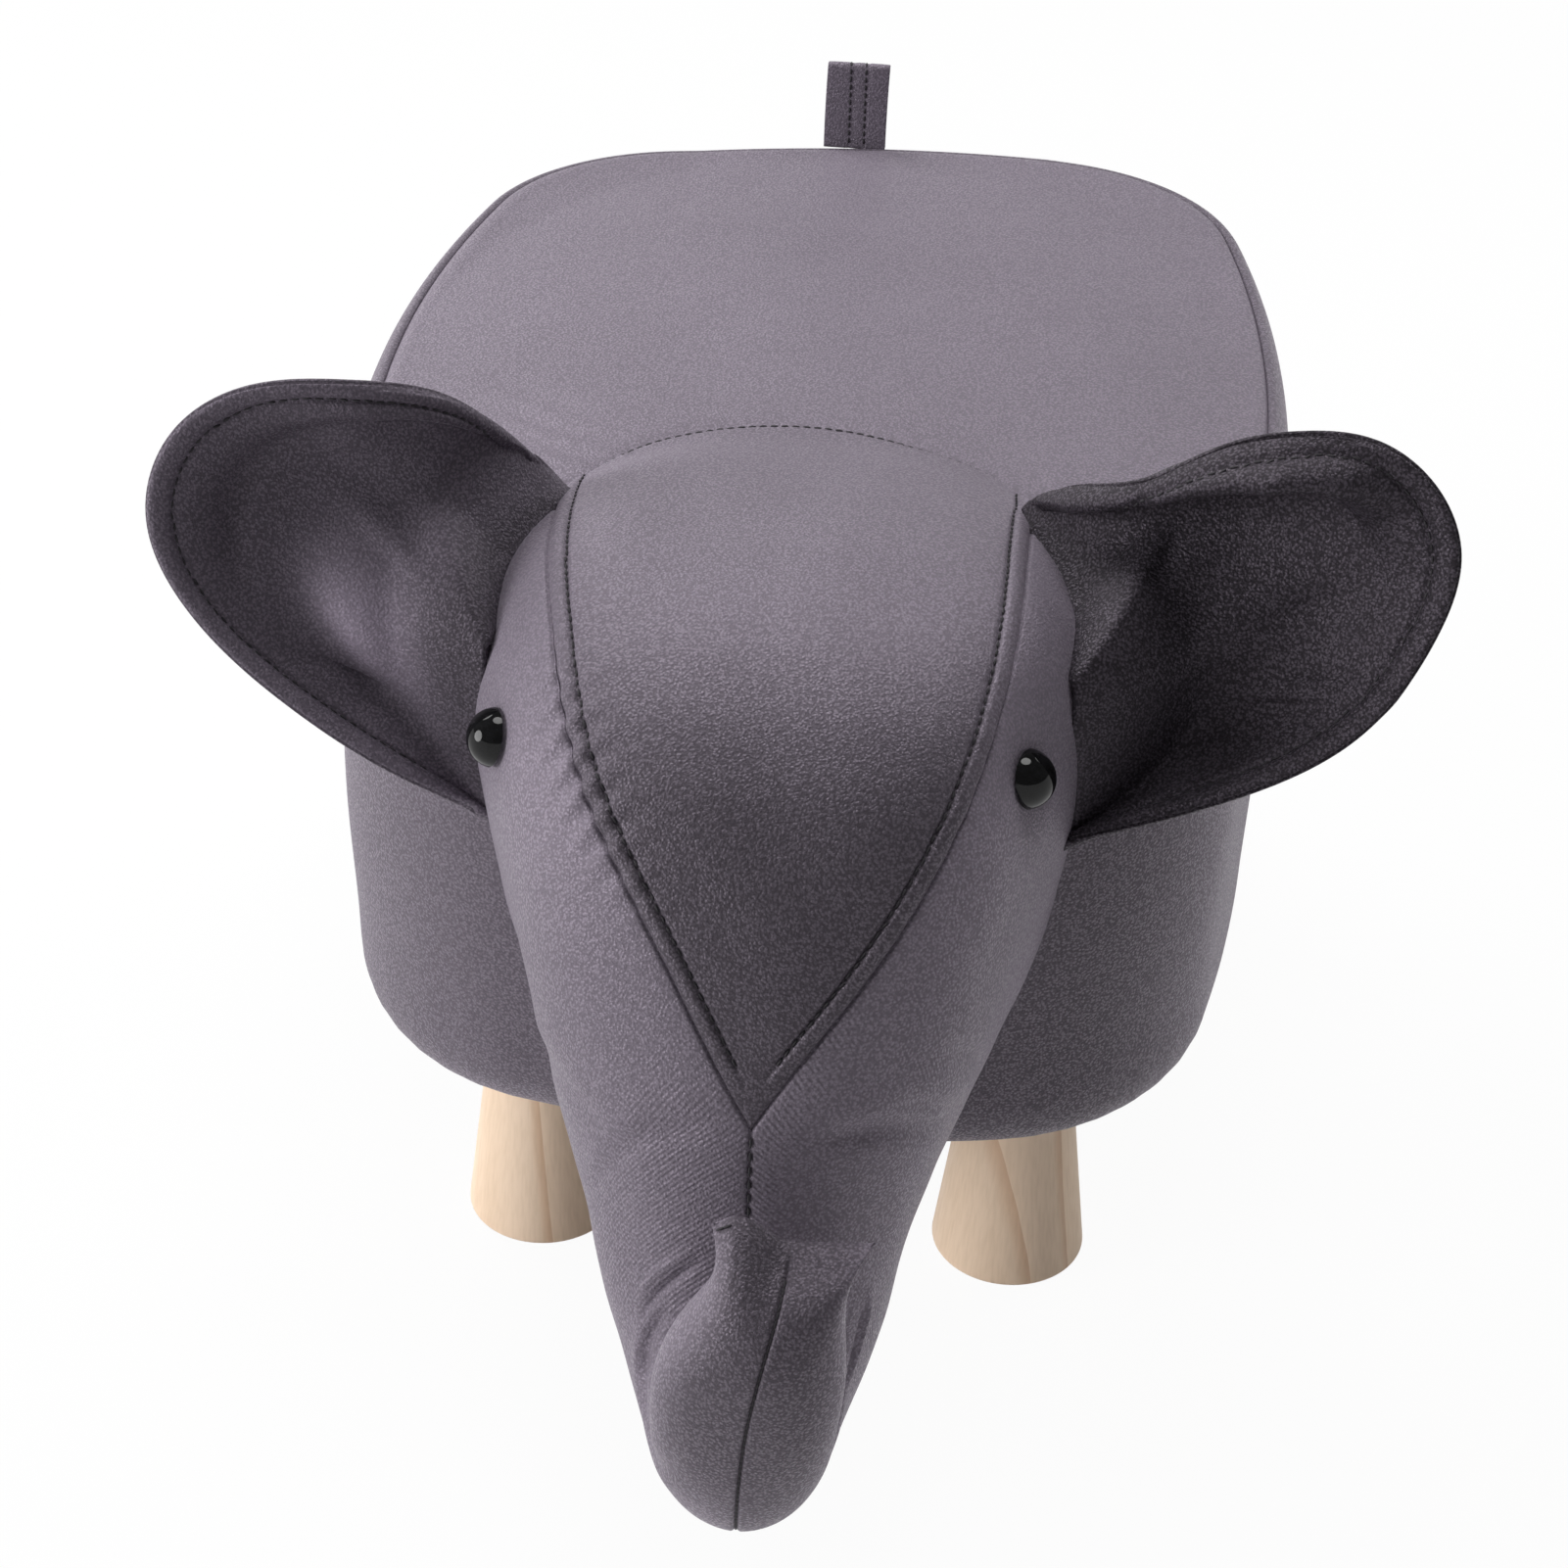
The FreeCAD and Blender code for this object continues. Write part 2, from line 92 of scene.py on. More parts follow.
# Head and trunk, section by section from the seat to the tip, along Y from the block's front:
# front point y and z, back point y and z, half width, sideways lean, squareness, wider top
FRONT_Y = BLOCK_Y - HALF_LENGTH
HEAD_SECTIONS = np.array([
    (133.0, 273.0, 105.0, 151.0, 74.0, 2.0, 3.0, 0.10),
    (93.0, 284.0, 54.0, 143.0, 83.0, 2.0, 3.3, 0.13),
    (40.5, 291.0, 18.0, 131.0, 87.5, 2.3, 3.4, 0.14),
    (-9.0, 286.6, 6.0, 119.0, 81.0, 2.7, 3.1, 0.13),
    (-49.5, 263.0, 3.0, 106.0, 71.0, 3.4, 2.8, 0.10),
    (-76.5, 225.5, -1.5, 96.0, 61.5, 3.7, 2.5, 0.06),
    (-91.0, 185.0, -9.0, 87.0, 52.2, 3.8, 2.3, 0.03),
    (-96.0, 154.0, -22.5, 77.0, 45.4, 4.1, 2.2, 0.0),
    (-100.0, 131.0, -45.0, 64.0, 40.0, 5.0, 2.2, 0.0),
    (-106.5, 113.5, -87.0, 54.6, 30.6, 6.6, 2.0, 0.0),
    (-113.0, 121.0, -131.5, 69.5, 25.0, 9.8, 1.9, 0.0),
    (-116.0, 142.0, -147.0, 116.0, 25.5, 12.8, 2.0, 0.0),
    (-113.5, 157.0, -143.0, 153.0, 19.0, 19.0, 2.2, 0.0),
    (-118.2, 165.6, -118.2, 165.6, 21.8, 22.0, 3.0, 0.0),
])
STATIONS = np.arange(len(HEAD_SECTIONS), dtype=float)
LAST_STATION = STATIONS[-1]
TIP_CORNER_LIFT = 1.5
TIP_LEFT_PEAK = 6.0
# Seams beside the forehead: station, then left and right distance from the middle line
SHIELD_SEAMS = np.array([
    (0.0, -66.0, 62.0), (1.0, -66.0, 61.0), (2.0, -62.5, 60.0), (3.0, -55.5, 58.5),
    (4.0, -44.0, 49.5), (5.0, -22.5, 31.5), (5.7, -6.5, 13.5), (6.15, 3.6, 3.6),
])
SHIELD_POINT = SHIELD_SEAMS[-1, 0]
SEAM_BAND = 6.0
COVER_THICKNESS = 1.2
# Seam of the forehead on the seat, across and along
REAR_SEAM = np.array([
    (-90.0, -62.0), (-76.0, -36.0), (-68.0, -23.0), (-55.5, -5.0), (-39.0, 8.0), (-11.0, 17.0),
    (15.0, 15.6), (40.0, 6.0), (63.6, -12.0), (74.0, -30.0), (90.0, -62.0),
])
REAR_LIP = 1.3
# Bend folds of the head: start and end, each a station and a turn in degrees, then width and depth
HEAD_FOLDS = [
    ((8.42, -46), (7.78, -14), 0.045, 1.7), ((9.05, -66), (8.45, -34), 0.07, 1.3),
    ((9.5, -85), (8.9, -52), 0.10, 1.2), ((8.0, 60), (8.95, 72), 0.06, 1.8),
    ((8.9, 62), (9.7, 95), 0.10, 1.4), ((9.6, -80), (10.6, -140), 0.13, 1.0),
    ((6.15, 24), (5.65, 80), 0.10, 1.7), ((5.75, 45), (5.4, 88), 0.08, 1.3),
    ((5.2, 60), (4.8, 95), 0.08, 0.9), ((6.3, -46), (6.2, -12), 0.10, 0.9),
    ((6.7, -62), (6.35, -30), 0.09, 0.8), ((5.0, -92), (6.1, -45), 0.14, 0.8),
]
# Eyes: middle of the right dome's foot
EYE_FOOT = np.array([75.2, -132.0, 250.8])
# Fine ribs of the cheeks, and the puckers beside the forehead's left seam
RIB_PITCH = 1.5
RIB_STARTS = {"left": (5.2, 6.4), "right": (3.6, 5.4)}
RIB_END = (8.0, 9.4)
RIB_REACH = 55.0
PUCKER = 0.9
PUCKER_PITCH = 9.5
PUCKER_PLACE = 3.9
PUCKER_SHARES = {"left": 1.0, "right": 0.2}
# Stitches: spacing and length of a topstitch, a trunk loop, a close thread and a tail stitch
TOPSTITCH = (3.4, 2.3)
TRUNK_LOOP = (4.4, 3.0)
CLOSE_THREAD = (2.2, 2.6)
TAIL_STITCH = (3.0, 2.0)
THREAD_RADIUS = 0.42
THREAD_LIFT = 0.1
# Lie of the nap and painted light: how much lighter or darker a panel looks than the seat. The cheeks' value
# and the side panel's overall value are the cover's own nap; the others paint light or shade, as noted at
# each
CHEEK_NAP = 0.04
# Painted light on the upper cheeks
UPPER_CHEEK_PAINTED_LIGHT = 0.22
# Darker nap of the forehead with painted shade where it turns down to face forward
FOREHEAD_NAP_AND_PAINTED_SHADE = -0.85
# Painted shade on the trunk's tip
TIP_PAINTED_SHADE = -0.78
SIDE_NAP = -0.38
# Painted shadow of the head and right ear on the side panel's front right: its place round the plan and its
# gain
SIDE_PAINTED_SHADOW_PLACE = 5.2
SIDE_PAINTED_SHADOW_GAIN = 1.45
# Painted shade over the ears, deepest inside the right one
EAR_PAINTED_SHADES = {"left": -0.30, "right": -0.95}

# Ears: rim from the upper root round the free edge to the lower root, and the sewn line inside the seam
EAR_RIMS = {
    "left": np.array([
        (-76, -36, 282), (-87, -58, 310), (-101, -74, 327), (-124, -86, 334), (-152, -92, 332),
        (-169, -97, 321), (-177, -104, 297), (-166, -110, 272), (-138, -116, 247), (-105, -118, 226),
        (-84, -113, 213),
    ], float),
    "right": np.array([
        (71, -34, 284), (83, -58, 303), (103, -77, 317), (124, -80, 331), (141, -81, 336), (162, -85, 337),
        (180, -93, 326), (186, -99, 313), (182, -107, 291), (163, -114, 260), (132, -117, 240),
        (104, -116, 227), (86, -112, 218),
    ], float),
}
EAR_ROOT_LINES = {
    "left": np.array([
        (-66, -38, 276), (-78, -78, 270), (-79, -104, 255), (-78, -108, 230), (-72, -110, 206),
    ], float),
    "right": np.array([
        (64, -38, 276), (82, -78, 270), (84, -104, 255), (83, -108, 230), (77, -110, 206),
    ], float),
}
EAR_CUPS = {"left": 17.0, "right": 24.0}
EAR_FOLD_HEIGHT = 2.6
EAR_FOLD_PHASES = {"left": 0.6, "right": 2.4}
# Forward fold under the upper rim: place along the rim and reach
EAR_BROWS = {
    "left": np.array([(0.0, 0.0), (0.15, 4.0), (0.3, 5.0), (0.45, 2.0), (0.6, 0.0), (1.0, 0.0)]),
    "right": np.array([
        (0.0, 0.0), (0.1, 10.0), (0.2, 10.0), (0.29, 21.0), (0.34, 24.0), (0.41, 18.0), (0.48, 4.0),
        (0.56, 0.0), (1.0, 0.0),
    ]),
}
EAR_BROW_PLACE = 0.85
EAR_BROW_EDGE = 0.07
# Room between an ear and the block's front, the ear's lean over the seat, and where its upper root is free
EAR_CLEAR = 4.5
EAR_CLEAR_SOFT = 3.0
EAR_LEAN = 1.3
EAR_LEAN_SOFT = 5.0
EAR_LEAN_START = SEAM_LEVEL + 4.0
EAR_FREE_ROOT = (0.12, 0.36)
EAR_FREE_REACH = 120
# Soft dents: place from root to rim and along the rim, spread in both, and depth away from the front
EAR_DENTS = {
    "left": [
        (0.42, 0.60, 0.13, 0.09, -7.0), (0.80, 0.53, 0.05, 0.07, 3.2), (0.72, 0.36, 0.12, 0.05, -3.0),
        (0.30, 0.45, 0.20, 0.025, -2.5), (0.62, 0.72, 0.20, 0.018, 1.6),
    ],
    "right": [
        (0.75, 0.67, 0.22, 0.016, -2.4), (0.45, 0.55, 0.20, 0.05, -3.5), (0.35, 0.42, 0.12, 0.04, -3.0),
        (0.62, 0.56, 0.16, 0.02, 2.2), (0.85, 0.60, 0.07, 0.04, -2.0),
    ],
}
# Painted sheen patch inside the left ear, placed as the dents are, a painted lighter hem and painted shade at
# its root
EAR_PAINTED_SHEEN = 1.75
EAR_SHEEN_PLACE = (0.42, 0.60)
EAR_SHEEN_SPREAD = (0.16, 0.10)
EAR_HEM_PAINTED_LIGHT = 0.25
EAR_ROOT_PAINTED_SHADE = 0.45
EAR_HALF_THICKNESS = 1.7
EAR_ROLL = 1.8
EAR_HEM = 7.0

# Tail strap: thickness, sideways shift, and the two sewn lines across its width
TAIL_STRAP = 1.2
TAIL_SHIFT = 2.0
TAIL_SEAMS = (-2.2, 3.4)

# Suede grain: texture scales of fibres, grain, pebbles and clouds, bump in millimetres and shares in it
FIBRE_SCALE = 3000
GRAIN_SCALE = 1300
PEBBLE_SCALE = 1050
CLOUD_SCALE = 16
SUEDE_BUMP = 0.35
FIBRE_SHARE = 0.35
RIB_SHARE = 0.42

# Surroundings in metres: floor, backdrop, the world's light and how white the floor looks
FLOOR_REACH = 6.0
BACKDROP_HEIGHT = 1.2
WORLD_LIGHT = 0.14
FLOOR_SEEN = 0.95
# Lamps: name, place, size in metres and power in watts, all aimed at one point of the stool
LAMPS = [
    ("back_left", (-1.2, 1.1, 1.6), 1.2, 24.0),
    ("back_right", (1.3, 1.2, 1.5), 1.2, 14.0),
    ("left_side", (-1.6, -0.7, 0.65), 1.0, 23.0),
    ("top", (0.0, 0.2, 1.9), 0.9, 15.0),
]
LAMP_TARGET = np.array([0, 0, 0.2])
# Camera: azimuth, elevation and roll in degrees, distance, aim and focal length in pixels of the frame
CAMERA_TURN = (5.0, 33.8, 1.7)
CAMERA_DISTANCE = 1140
CAMERA_LEVEL = 120
CAMERA_SHIFT = (11, 13)
FOCAL_PIXELS = 3300
FRAME_PIXELS = 1601
SENSOR_WIDTH = 36


def spline(knots, values, where):
    """Natural cubic through values at knots, read at every parameter in where.

    The second derivatives come from one linear solve, then each stretch is the usual cubic.
    """
    values = np.asarray(values, float).reshape(len(knots), -1)
    step = np.diff(knots)
    count = len(knots)
    matrix = np.eye(count)
    inner = np.arange(1, count - 1)
    matrix[inner, inner - 1] = step[:-1]
    matrix[inner, inner] = 2 * (step[:-1] + step[1:])
    matrix[inner, inner + 1] = step[1:]
    slopes = np.diff(values, axis=0) / step[:, None]
    right = np.zeros_like(values)
    right[1:-1] = 6 * np.diff(slopes, axis=0)
    bend = np.linalg.solve(matrix, right)
    where = np.asarray(where, float)
    index = np.clip(np.searchsorted(knots, where, side="right") - 1, 0, count - 2)
    h = step[index][..., None]
    a = (knots[index + 1] - where)[..., None] / h
    b = 1 - a
    cubic = ((a ** 3 - a) * bend[index] + (b ** 3 - b) * bend[index + 1]) * h ** 2 / 6
    return a * values[index] + b * values[index + 1] + cubic


def unit(vectors):
    """Vectors of length one."""
    return vectors / np.maximum(np.linalg.norm(vectors, axis=-1, keepdims=True), 1e-9)


def run_along(points):
    """Distance along a line of points from its first one."""
    return np.concatenate([[0], np.cumsum(np.linalg.norm(np.diff(points, axis=0), axis=1))])


def grid_normals(points):
    """Normals of a grid surface: the cross product of its row and column differences."""
    return unit(np.cross(np.gradient(points, axis=0), np.gradient(points, axis=1)))


def soft_waves(points, length, seed):
    """Smooth unevenness from -1 to 1: a mean of sine waves that run in fixed scattered directions."""
    rng = np.random.default_rng(seed)
    directions = unit(rng.normal(size=(9, 3)))
    lengths = length * rng.uniform(0.7, 1.6, 9)
    phases = rng.uniform(0, 2 * np.pi, 9)
    angles = points @ (directions * (2 * np.pi / lengths[:, None])).T + phases
    return np.sin(angles).mean(-1) * 1.8


def unevenness(points, waves):
    """Sum of soft waves, each with its height, length and seed."""
    return sum(height * soft_waves(points, length, seed) for height, length, seed in waves)


def smooth_step(low, high, x):
    """0 below low, 1 above high and a cubic ease between."""
    share = np.clip((x - low) / (high - low), 0, 1)
    return share * share * (3 - 2 * share)


def bell(x):
    """1 at zero, falling off evenly on both sides to about a third at one: a Gaussian."""
    return np.exp(-x ** 2)


def rounded(x, power):
    """Power of a sine or cosine that keeps its sign, which squares or rounds off a curve."""
    return np.sign(x) * np.abs(x) ** power


def grid_faces(rows, columns, wrap_rows=False, wrap_columns=False):
    """Quads between neighbouring points of a grid that is stored row by row."""
    row = np.arange(rows if wrap_rows else rows - 1)[:, None]
    column = np.arange(columns if wrap_columns else columns - 1)[None, :]
    next_row = (row + 1) % rows
    next_column = (column + 1) % columns
    corners = [row * columns + column, row * columns + next_column,
               next_row * columns + next_column, next_row * columns + column]
    return np.stack(np.broadcast_arrays(*corners), -1).reshape(-1, 4)


def fan_faces(ring, centre):
    """Triangles from one point to each edge of a closed ring of points."""
    return np.stack([ring, np.roll(ring, -1), np.full_like(ring, centre)], -1)


def add_object(name, data):
    """Object at the origin for a mesh, lamp or camera, placed in the scene."""
    thing = bpy.data.objects.new(name, data)
    bpy.context.scene.collection.objects.link(thing)
    return thing


def add_piece(name, points, faces, body, material):
    """Mesh object at the origin from points in millimetres, smooth, riding on a body."""
    mesh = bpy.data.meshes.new(name)
    faces = [face.tolist() for group in faces for face in np.asarray(group)]
    mesh.from_pydata((np.asarray(points).reshape(-1, 3) * MM).tolist(), [], faces)
    mesh.shade_smooth()
    mesh.materials.append(material)
    piece = add_object(name, mesh)
    if body:
        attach(piece, body)
    return piece


def mark(piece, name, values):
    """Store one number per point of a piece under a name that its material reads."""
    layer = piece.data.attributes.new(name, "FLOAT", "POINT")
    layer.data.foreach_set("value", np.ascontiguousarray(values, np.float32).ravel())


def add_shell(name, grid, body, material, thickness):
    """Open grid surface given a thickness behind its outer face."""
    rows, columns = grid.shape[:2]
    piece = add_piece(name, grid, [grid_faces(rows, columns)], body, material)
    wall = piece.modifiers.new("wall", "SOLIDIFY")
    wall.thickness = thickness * MM
    wall.offset = -1
    return piece


def add_lathe(name, rings, body, material):
    """Closed form from stacked rings, each end closed by a fan to the ring's middle."""
    rows, columns = rings.shape[:2]
    ends = np.stack([rings[0].mean(0), rings[-1].mean(0)])
    points = np.concatenate([rings.reshape(-1, 3), ends])
    first = np.arange(columns)
    last = first + (rows - 1) * columns
    faces = [
        grid_faces(rows, columns, wrap_columns=True),
        fan_faces(first[::-1], rows * columns),
        fan_faces(last, rows * columns + 1),
    ]
    return add_piece(name, points, faces, body, material)


def read_line(run, values, where):
    """Points or normals of a line, read at distances along it."""
    return np.stack([np.interp(where, run, values[:, axis]) for axis in range(3)], -1)


def add_stitches(name, lines, body, pitch, length):
    """Row of short thread loops along lines of points and normals, each a slim spindle on the surface."""
    sides = 6
    ring = np.linspace(0, 2 * np.pi, sides, endpoint=False)
    place = np.linspace(-1, 1, 5)
    radius = THREAD_RADIUS * np.sqrt(1 - 0.8 * place ** 2)
    spindle = np.stack(np.broadcast_arrays(
        place[:, None] * length / 2, radius[:, None] * np.cos(ring), radius[:, None] * np.sin(ring)), -1)
    centres, axes = [], []
    for points, normals in lines:
        run = run_along(points)
        where = np.arange(pitch, run[-1] - pitch, pitch)
        spots = read_line(run, points, where)
        up = unit(read_line(run, normals, where))
        along = unit(read_line(run, points, where + 0.5) - spots)
        centres.append(spots + THREAD_LIFT * up)
        axes.append(np.stack([along, unit(np.cross(up, along)), up], 1))
    centres = np.concatenate(centres)
    axes = np.concatenate(axes)
    points = centres[:, None] + np.einsum("pk,nkc->npc", spindle.reshape(-1, 3), axes)
    per_stitch = len(place) * sides
    quads = grid_faces(len(place), sides, wrap_columns=True)
    offsets = np.arange(len(centres))[:, None, None] * per_stitch
    ends = np.stack([np.arange(sides)[::-1], np.arange(sides) + per_stitch - sides])
    faces = [(quads[None] + offsets).reshape(-1, 4), (ends[None] + offsets).reshape(-1, sides)]
    return add_piece(name, points, faces, body, THREAD)


# Materials

class Finish:
    """Node material in the making, with one short call for each kind of node that it uses."""

    def __init__(self, name):
        self.material = bpy.data.materials.new(name)
        self.material.use_nodes = True
        self.nodes = self.material.node_tree.nodes
        self.shader = self.nodes["Principled BSDF"]

    def put(self, value, socket):
        """Set a socket to a number or a colour, or lead another socket into it."""
        if isinstance(value, (int, float)):
            socket.default_value = value
        elif isinstance(value, tuple):
            socket.default_value = (*value, 1)
        else:
            self.material.node_tree.links.new(value, socket)

    def add(self, kind, values):
        """New node of a kind with the values of its inputs."""
        node = self.nodes.new("ShaderNode" + kind)
        for name, value in values.items():
            self.put(value, node.inputs[name])
        return node

    def surface(self, values):
        """Values of the shader's own sockets."""
        for name, value in values.items():
            self.put(value, self.shader.inputs[name])

    def place(self):
        """Object coordinates."""
        return self.nodes.new("ShaderNodeTexCoord").outputs["Object"]

    def stretched(self, scale):
        """Object coordinates drawn out along one axis."""
        node = self.add("Mapping", {"Vector": self.place()})
        node.inputs["Scale"].default_value = scale
        return node.outputs["Vector"]

    def noise(self, vector, scale, detail, roughness=0.5):
        """Noise texture on a vector, giving its value."""
        values = {"Vector": vector, "Scale": scale, "Detail": detail, "Roughness": roughness}
        return self.add("TexNoise", values).outputs["Fac"]

    def ramp(self, value, stops):
        """Colour ramp with the given places and colours."""
        node = self.add("ValToRGB", {"Fac": value})
        elements = node.color_ramp.elements
        for place, colour in stops[2:]:
            elements.new(place)
        for element, (place, colour) in zip(elements, stops):
            element.position = place
            element.color = (*colour, 1)
        return node.outputs["Color"]

    def math(self, operation, first, second):
        """Math node on two inputs, each a socket or a number."""
        node = self.add("Math", {0: first, 1: second})
        node.operation = operation
        return node.outputs["Value"]

    def multiply(self, first, second):
        """Product of two colours, each a socket or a colour."""
        node = self.nodes.new("ShaderNodeMix")
        node.data_type = "RGBA"
        node.blend_type = "MULTIPLY"
        node.inputs["Factor"].default_value = 1.0
        self.put(first, node.inputs[6])
        self.put(second, node.inputs[7])
        return node.outputs[2]

    def bump(self, height, distance, strength):
        """Bump from a height, at most a distance in millimetres."""
        node = self.add("Bump", {"Height": height, "Distance": distance * MM, "Strength": strength})
        return node.outputs["Normal"]

    def span(self, value, low, high, first, second):
        """Map a value's range to another, held at both ends."""
        values = {"Value": value, "From Min": low, "From Max": high, "To Min": first, "To Max": second}
        return self.add("MapRange", values).outputs["Result"]

    def attribute(self, name):
        """Value of one of the piece's own attributes."""
        node = self.nodes.new("ShaderNodeAttribute")
        node.attribute_name = name
        return node.outputs["Fac"]

    def seen_directly(self):
        """1 for what the eye sees straight on, in a mirror or through glass, 0 for light on other things."""
        rays = self.nodes.new("ShaderNodeLightPath").outputs
        direct = self.math("MAXIMUM", rays["Is Camera Ray"], rays["Is Glossy Ray"])
        return self.math("MAXIMUM", direct, rays["Is Transmission Ray"])


def suede(name, colour, sheen, gloss):
    """Suede-look cover: pebbled grain of about a millimetre, cloudy rubbed tone, soft sheen and faint ribs.

    The ribs follow the piece's own rib_phase where its rib_weight is above zero. Its nap value is below zero
    where a panel's nap lies against the eye and where shade is painted in: the cover looks darker and the
    pits of its grain stand out. Above zero the cover looks lighter: on the cheeks by their nap, elsewhere by
    painted light.
    """
    finish = Finish(name)
    place = finish.place()
    fibres = finish.noise(place, FIBRE_SCALE, 2, 0.6)
    grain = finish.noise(place, GRAIN_SCALE, 2, 0.6)
    clouds = finish.noise(place, CLOUD_SCALE, 2)
    cells = finish.add("TexVoronoi", {"Vector": place, "Scale": PEBBLE_SCALE})
    pebble = finish.span(cells.outputs["Distance"], 0.10, 0.62, 0.5, 0.0)
    level = finish.math("ADD", pebble, grain)
    shade = finish.span(level, 0.50, 0.80, 0.0, 1.0)
    # Nap of the panels together with painted shade and painted light, scaling the grain's pits and crests
    nap_and_painted_light = finish.attribute("nap_and_painted_light")
    pit = finish.math("ADD", finish.math("MULTIPLY", nap_and_painted_light, 0.60), 0.58)
    crest = finish.math("ADD", finish.math("MULTIPLY", nap_and_painted_light, 0.70), 1.0)
    rise = finish.math("MULTIPLY", finish.math("SUBTRACT", crest, pit), shade)
    rubbed = finish.span(clouds, 0.3, 0.7, 0.94, 1.05)
    tone = finish.math("MULTIPLY", rubbed, finish.math("ADD", pit, rise))
    wave = finish.math("MULTIPLY", finish.attribute("rib_phase"), 2 * np.pi)
    ribs = finish.math("MULTIPLY", finish.math("SINE", wave, 0.0), finish.attribute("rib_weight"))
    height = finish.math("ADD", level, finish.math("MULTIPLY", fibres, FIBRE_SHARE))
    height = finish.math("ADD", height, finish.math("MULTIPLY", ribs, RIB_SHARE))
    finish.surface({
        "Base Color": finish.multiply(colour, tone),
        "Roughness": finish.span(level, 0.55, 0.88, 0.62, 0.28),
        "Normal": finish.bump(height, SUEDE_BUMP, 0.8),
        "Sheen Weight": sheen,
        "Sheen Roughness": 0.5,
        "Sheen Tint": (0.93, 0.81, 0.98),
        "Specular IOR Level": gloss,
        "Specular Tint": (0.97, 0.84, 1.0),
    })
    return finish.material


def pine(name, pale, dark):
    """Pine along Z: broad pale growth bands with a few darker late-wood lines, and fine fibre."""
    finish = Finish(name)
    lengthwise = finish.stretched((1, 1, 0.05))
    rings = finish.add("TexWave", {
        "Vector": lengthwise, "Scale": 24, "Distortion": 3.5, "Detail": 2, "Detail Scale": 1.5})
    rings.wave_type = "BANDS"
    rings.bands_direction = "DIAGONAL"
    rings.wave_profile = "SAW"
    between = tuple(0.93 * channel for channel in pale)
    tone = finish.ramp(rings.outputs["Fac"], [(0.0, pale), (0.80, between), (0.97, dark)])
    fibre = finish.noise(finish.stretched((1, 1, 0.03)), 900, 2)
    streak = finish.ramp(fibre, [(0.3, (0.93, 0.92, 0.90)), (0.6, (1.0, 1.0, 1.0))])
    broad = finish.noise(lengthwise, 30, 2)
    sway = finish.ramp(broad, [(0.35, (0.93, 0.91, 0.88)), (0.65, (1.03, 1.03, 1.03))])
    finish.surface({
        "Base Color": finish.multiply(finish.multiply(tone, streak), sway),
        "Roughness": finish.span(fibre, 0.3, 0.7, 0.62, 0.48),
        "Normal": finish.bump(fibre, 0.12, 0.4),
    })
    return finish.material


def plywood():
    """Birch plywood: veneers of turning direction, dark and pale layers at the edge, with long grain."""
    finish = Finish("birch_plywood")
    layers = finish.add("TexWave", {"Vector": finish.place(), "Scale": 190, "Distortion": 0.6})
    layers.bands_direction = "Z"
    grain = finish.noise(finish.stretched((1, 0.05, 1)), 260, 3)
    ply = finish.ramp(layers.outputs["Fac"], [(0.2, (0.42, 0.28, 0.16)), (0.7, (0.66, 0.49, 0.31))])
    fleck = finish.ramp(grain, [(0.3, (0.84, 0.82, 0.80)), (0.65, (1.04, 1.04, 1.04))])
    finish.surface({
        "Base Color": finish.multiply(ply, fleck),
        "Roughness": 0.6,
        "Normal": finish.bump(grain, 0.15, 0.4),
    })
    return finish.material


def speckled(name, dark, light, scale, depth, rough_low, rough_high, metal=0.0, gloss=0.5):
    """Even stock with a fine mottled tone, a matching bump and uneven gloss."""
    finish = Finish(name)
    mottle = finish.noise(finish.place(), scale, 4, 0.6)
    finish.surface({
        "Base Color": finish.ramp(mottle, [(0.32, dark), (0.68, light)]),
        "Roughness": finish.span(mottle, 0.3, 0.7, rough_low, rough_high),
        "Normal": finish.bump(mottle, depth, 0.4),
        "Metallic": metal,
        "Specular IOR Level": gloss,
    })
    return finish.material


SUEDE = suede("mauve_suede", (0.176, 0.153, 0.188), 0.25, 0.75)
# Darker copy of the suede for the ears: its darker colour is painted shade, and it has less sheen and gloss
EAR_SUEDE_PAINTED_SHADE = suede("ear_suede_painted_shade", (0.150, 0.128, 0.161), 0.04, 0.40)
THREAD = speckled("mauve_thread", (0.010, 0.008, 0.011), (0.028, 0.024, 0.030), 1800, 0.1, 0.8, 0.6)
PINE = pine("turned_pine", (0.95, 0.74, 0.56), (0.76, 0.52, 0.35))
POST_PINE = pine("sawn_pine", (0.70, 0.54, 0.38), (0.48, 0.30, 0.17))
PLYWOOD = plywood()
HARDBOARD = speckled("hardboard", (0.15, 0.085, 0.045), (0.26, 0.16, 0.09), 700, 0.1, 0.55, 0.75)
DUST_CLOTH = speckled("black_fleece", (0.012, 0.012, 0.013), (0.04, 0.04, 0.042), 1300, 0.2, 0.95, 0.8)
ZINC = speckled("zinc_steel", (0.52, 0.53, 0.55), (0.70, 0.71, 0.73), 900, 0.02, 0.42, 0.25, metal=1.0)
EYE_BLACK = speckled(
    "eye_black", (0.004, 0.004, 0.004), (0.009, 0.009, 0.010), 400, 0.003, 0.05, 0.08, gloss=0.25)
WASHER_PLASTIC = speckled("washer_plastic", (0.62, 0.62, 0.60), (0.72, 0.72, 0.70), 300, 0.05, 0.45, 0.6)


# Seat block

def plan_angles(count):
    """Directions of the plan's outward normal at points spread evenly along its outline."""
    fine = np.linspace(0, 2 * np.pi, 4001)
    run = run_along(plan_points(fine, 0.0))
    return np.interp(np.linspace(0, run[-1], count, endpoint=False), run, fine)


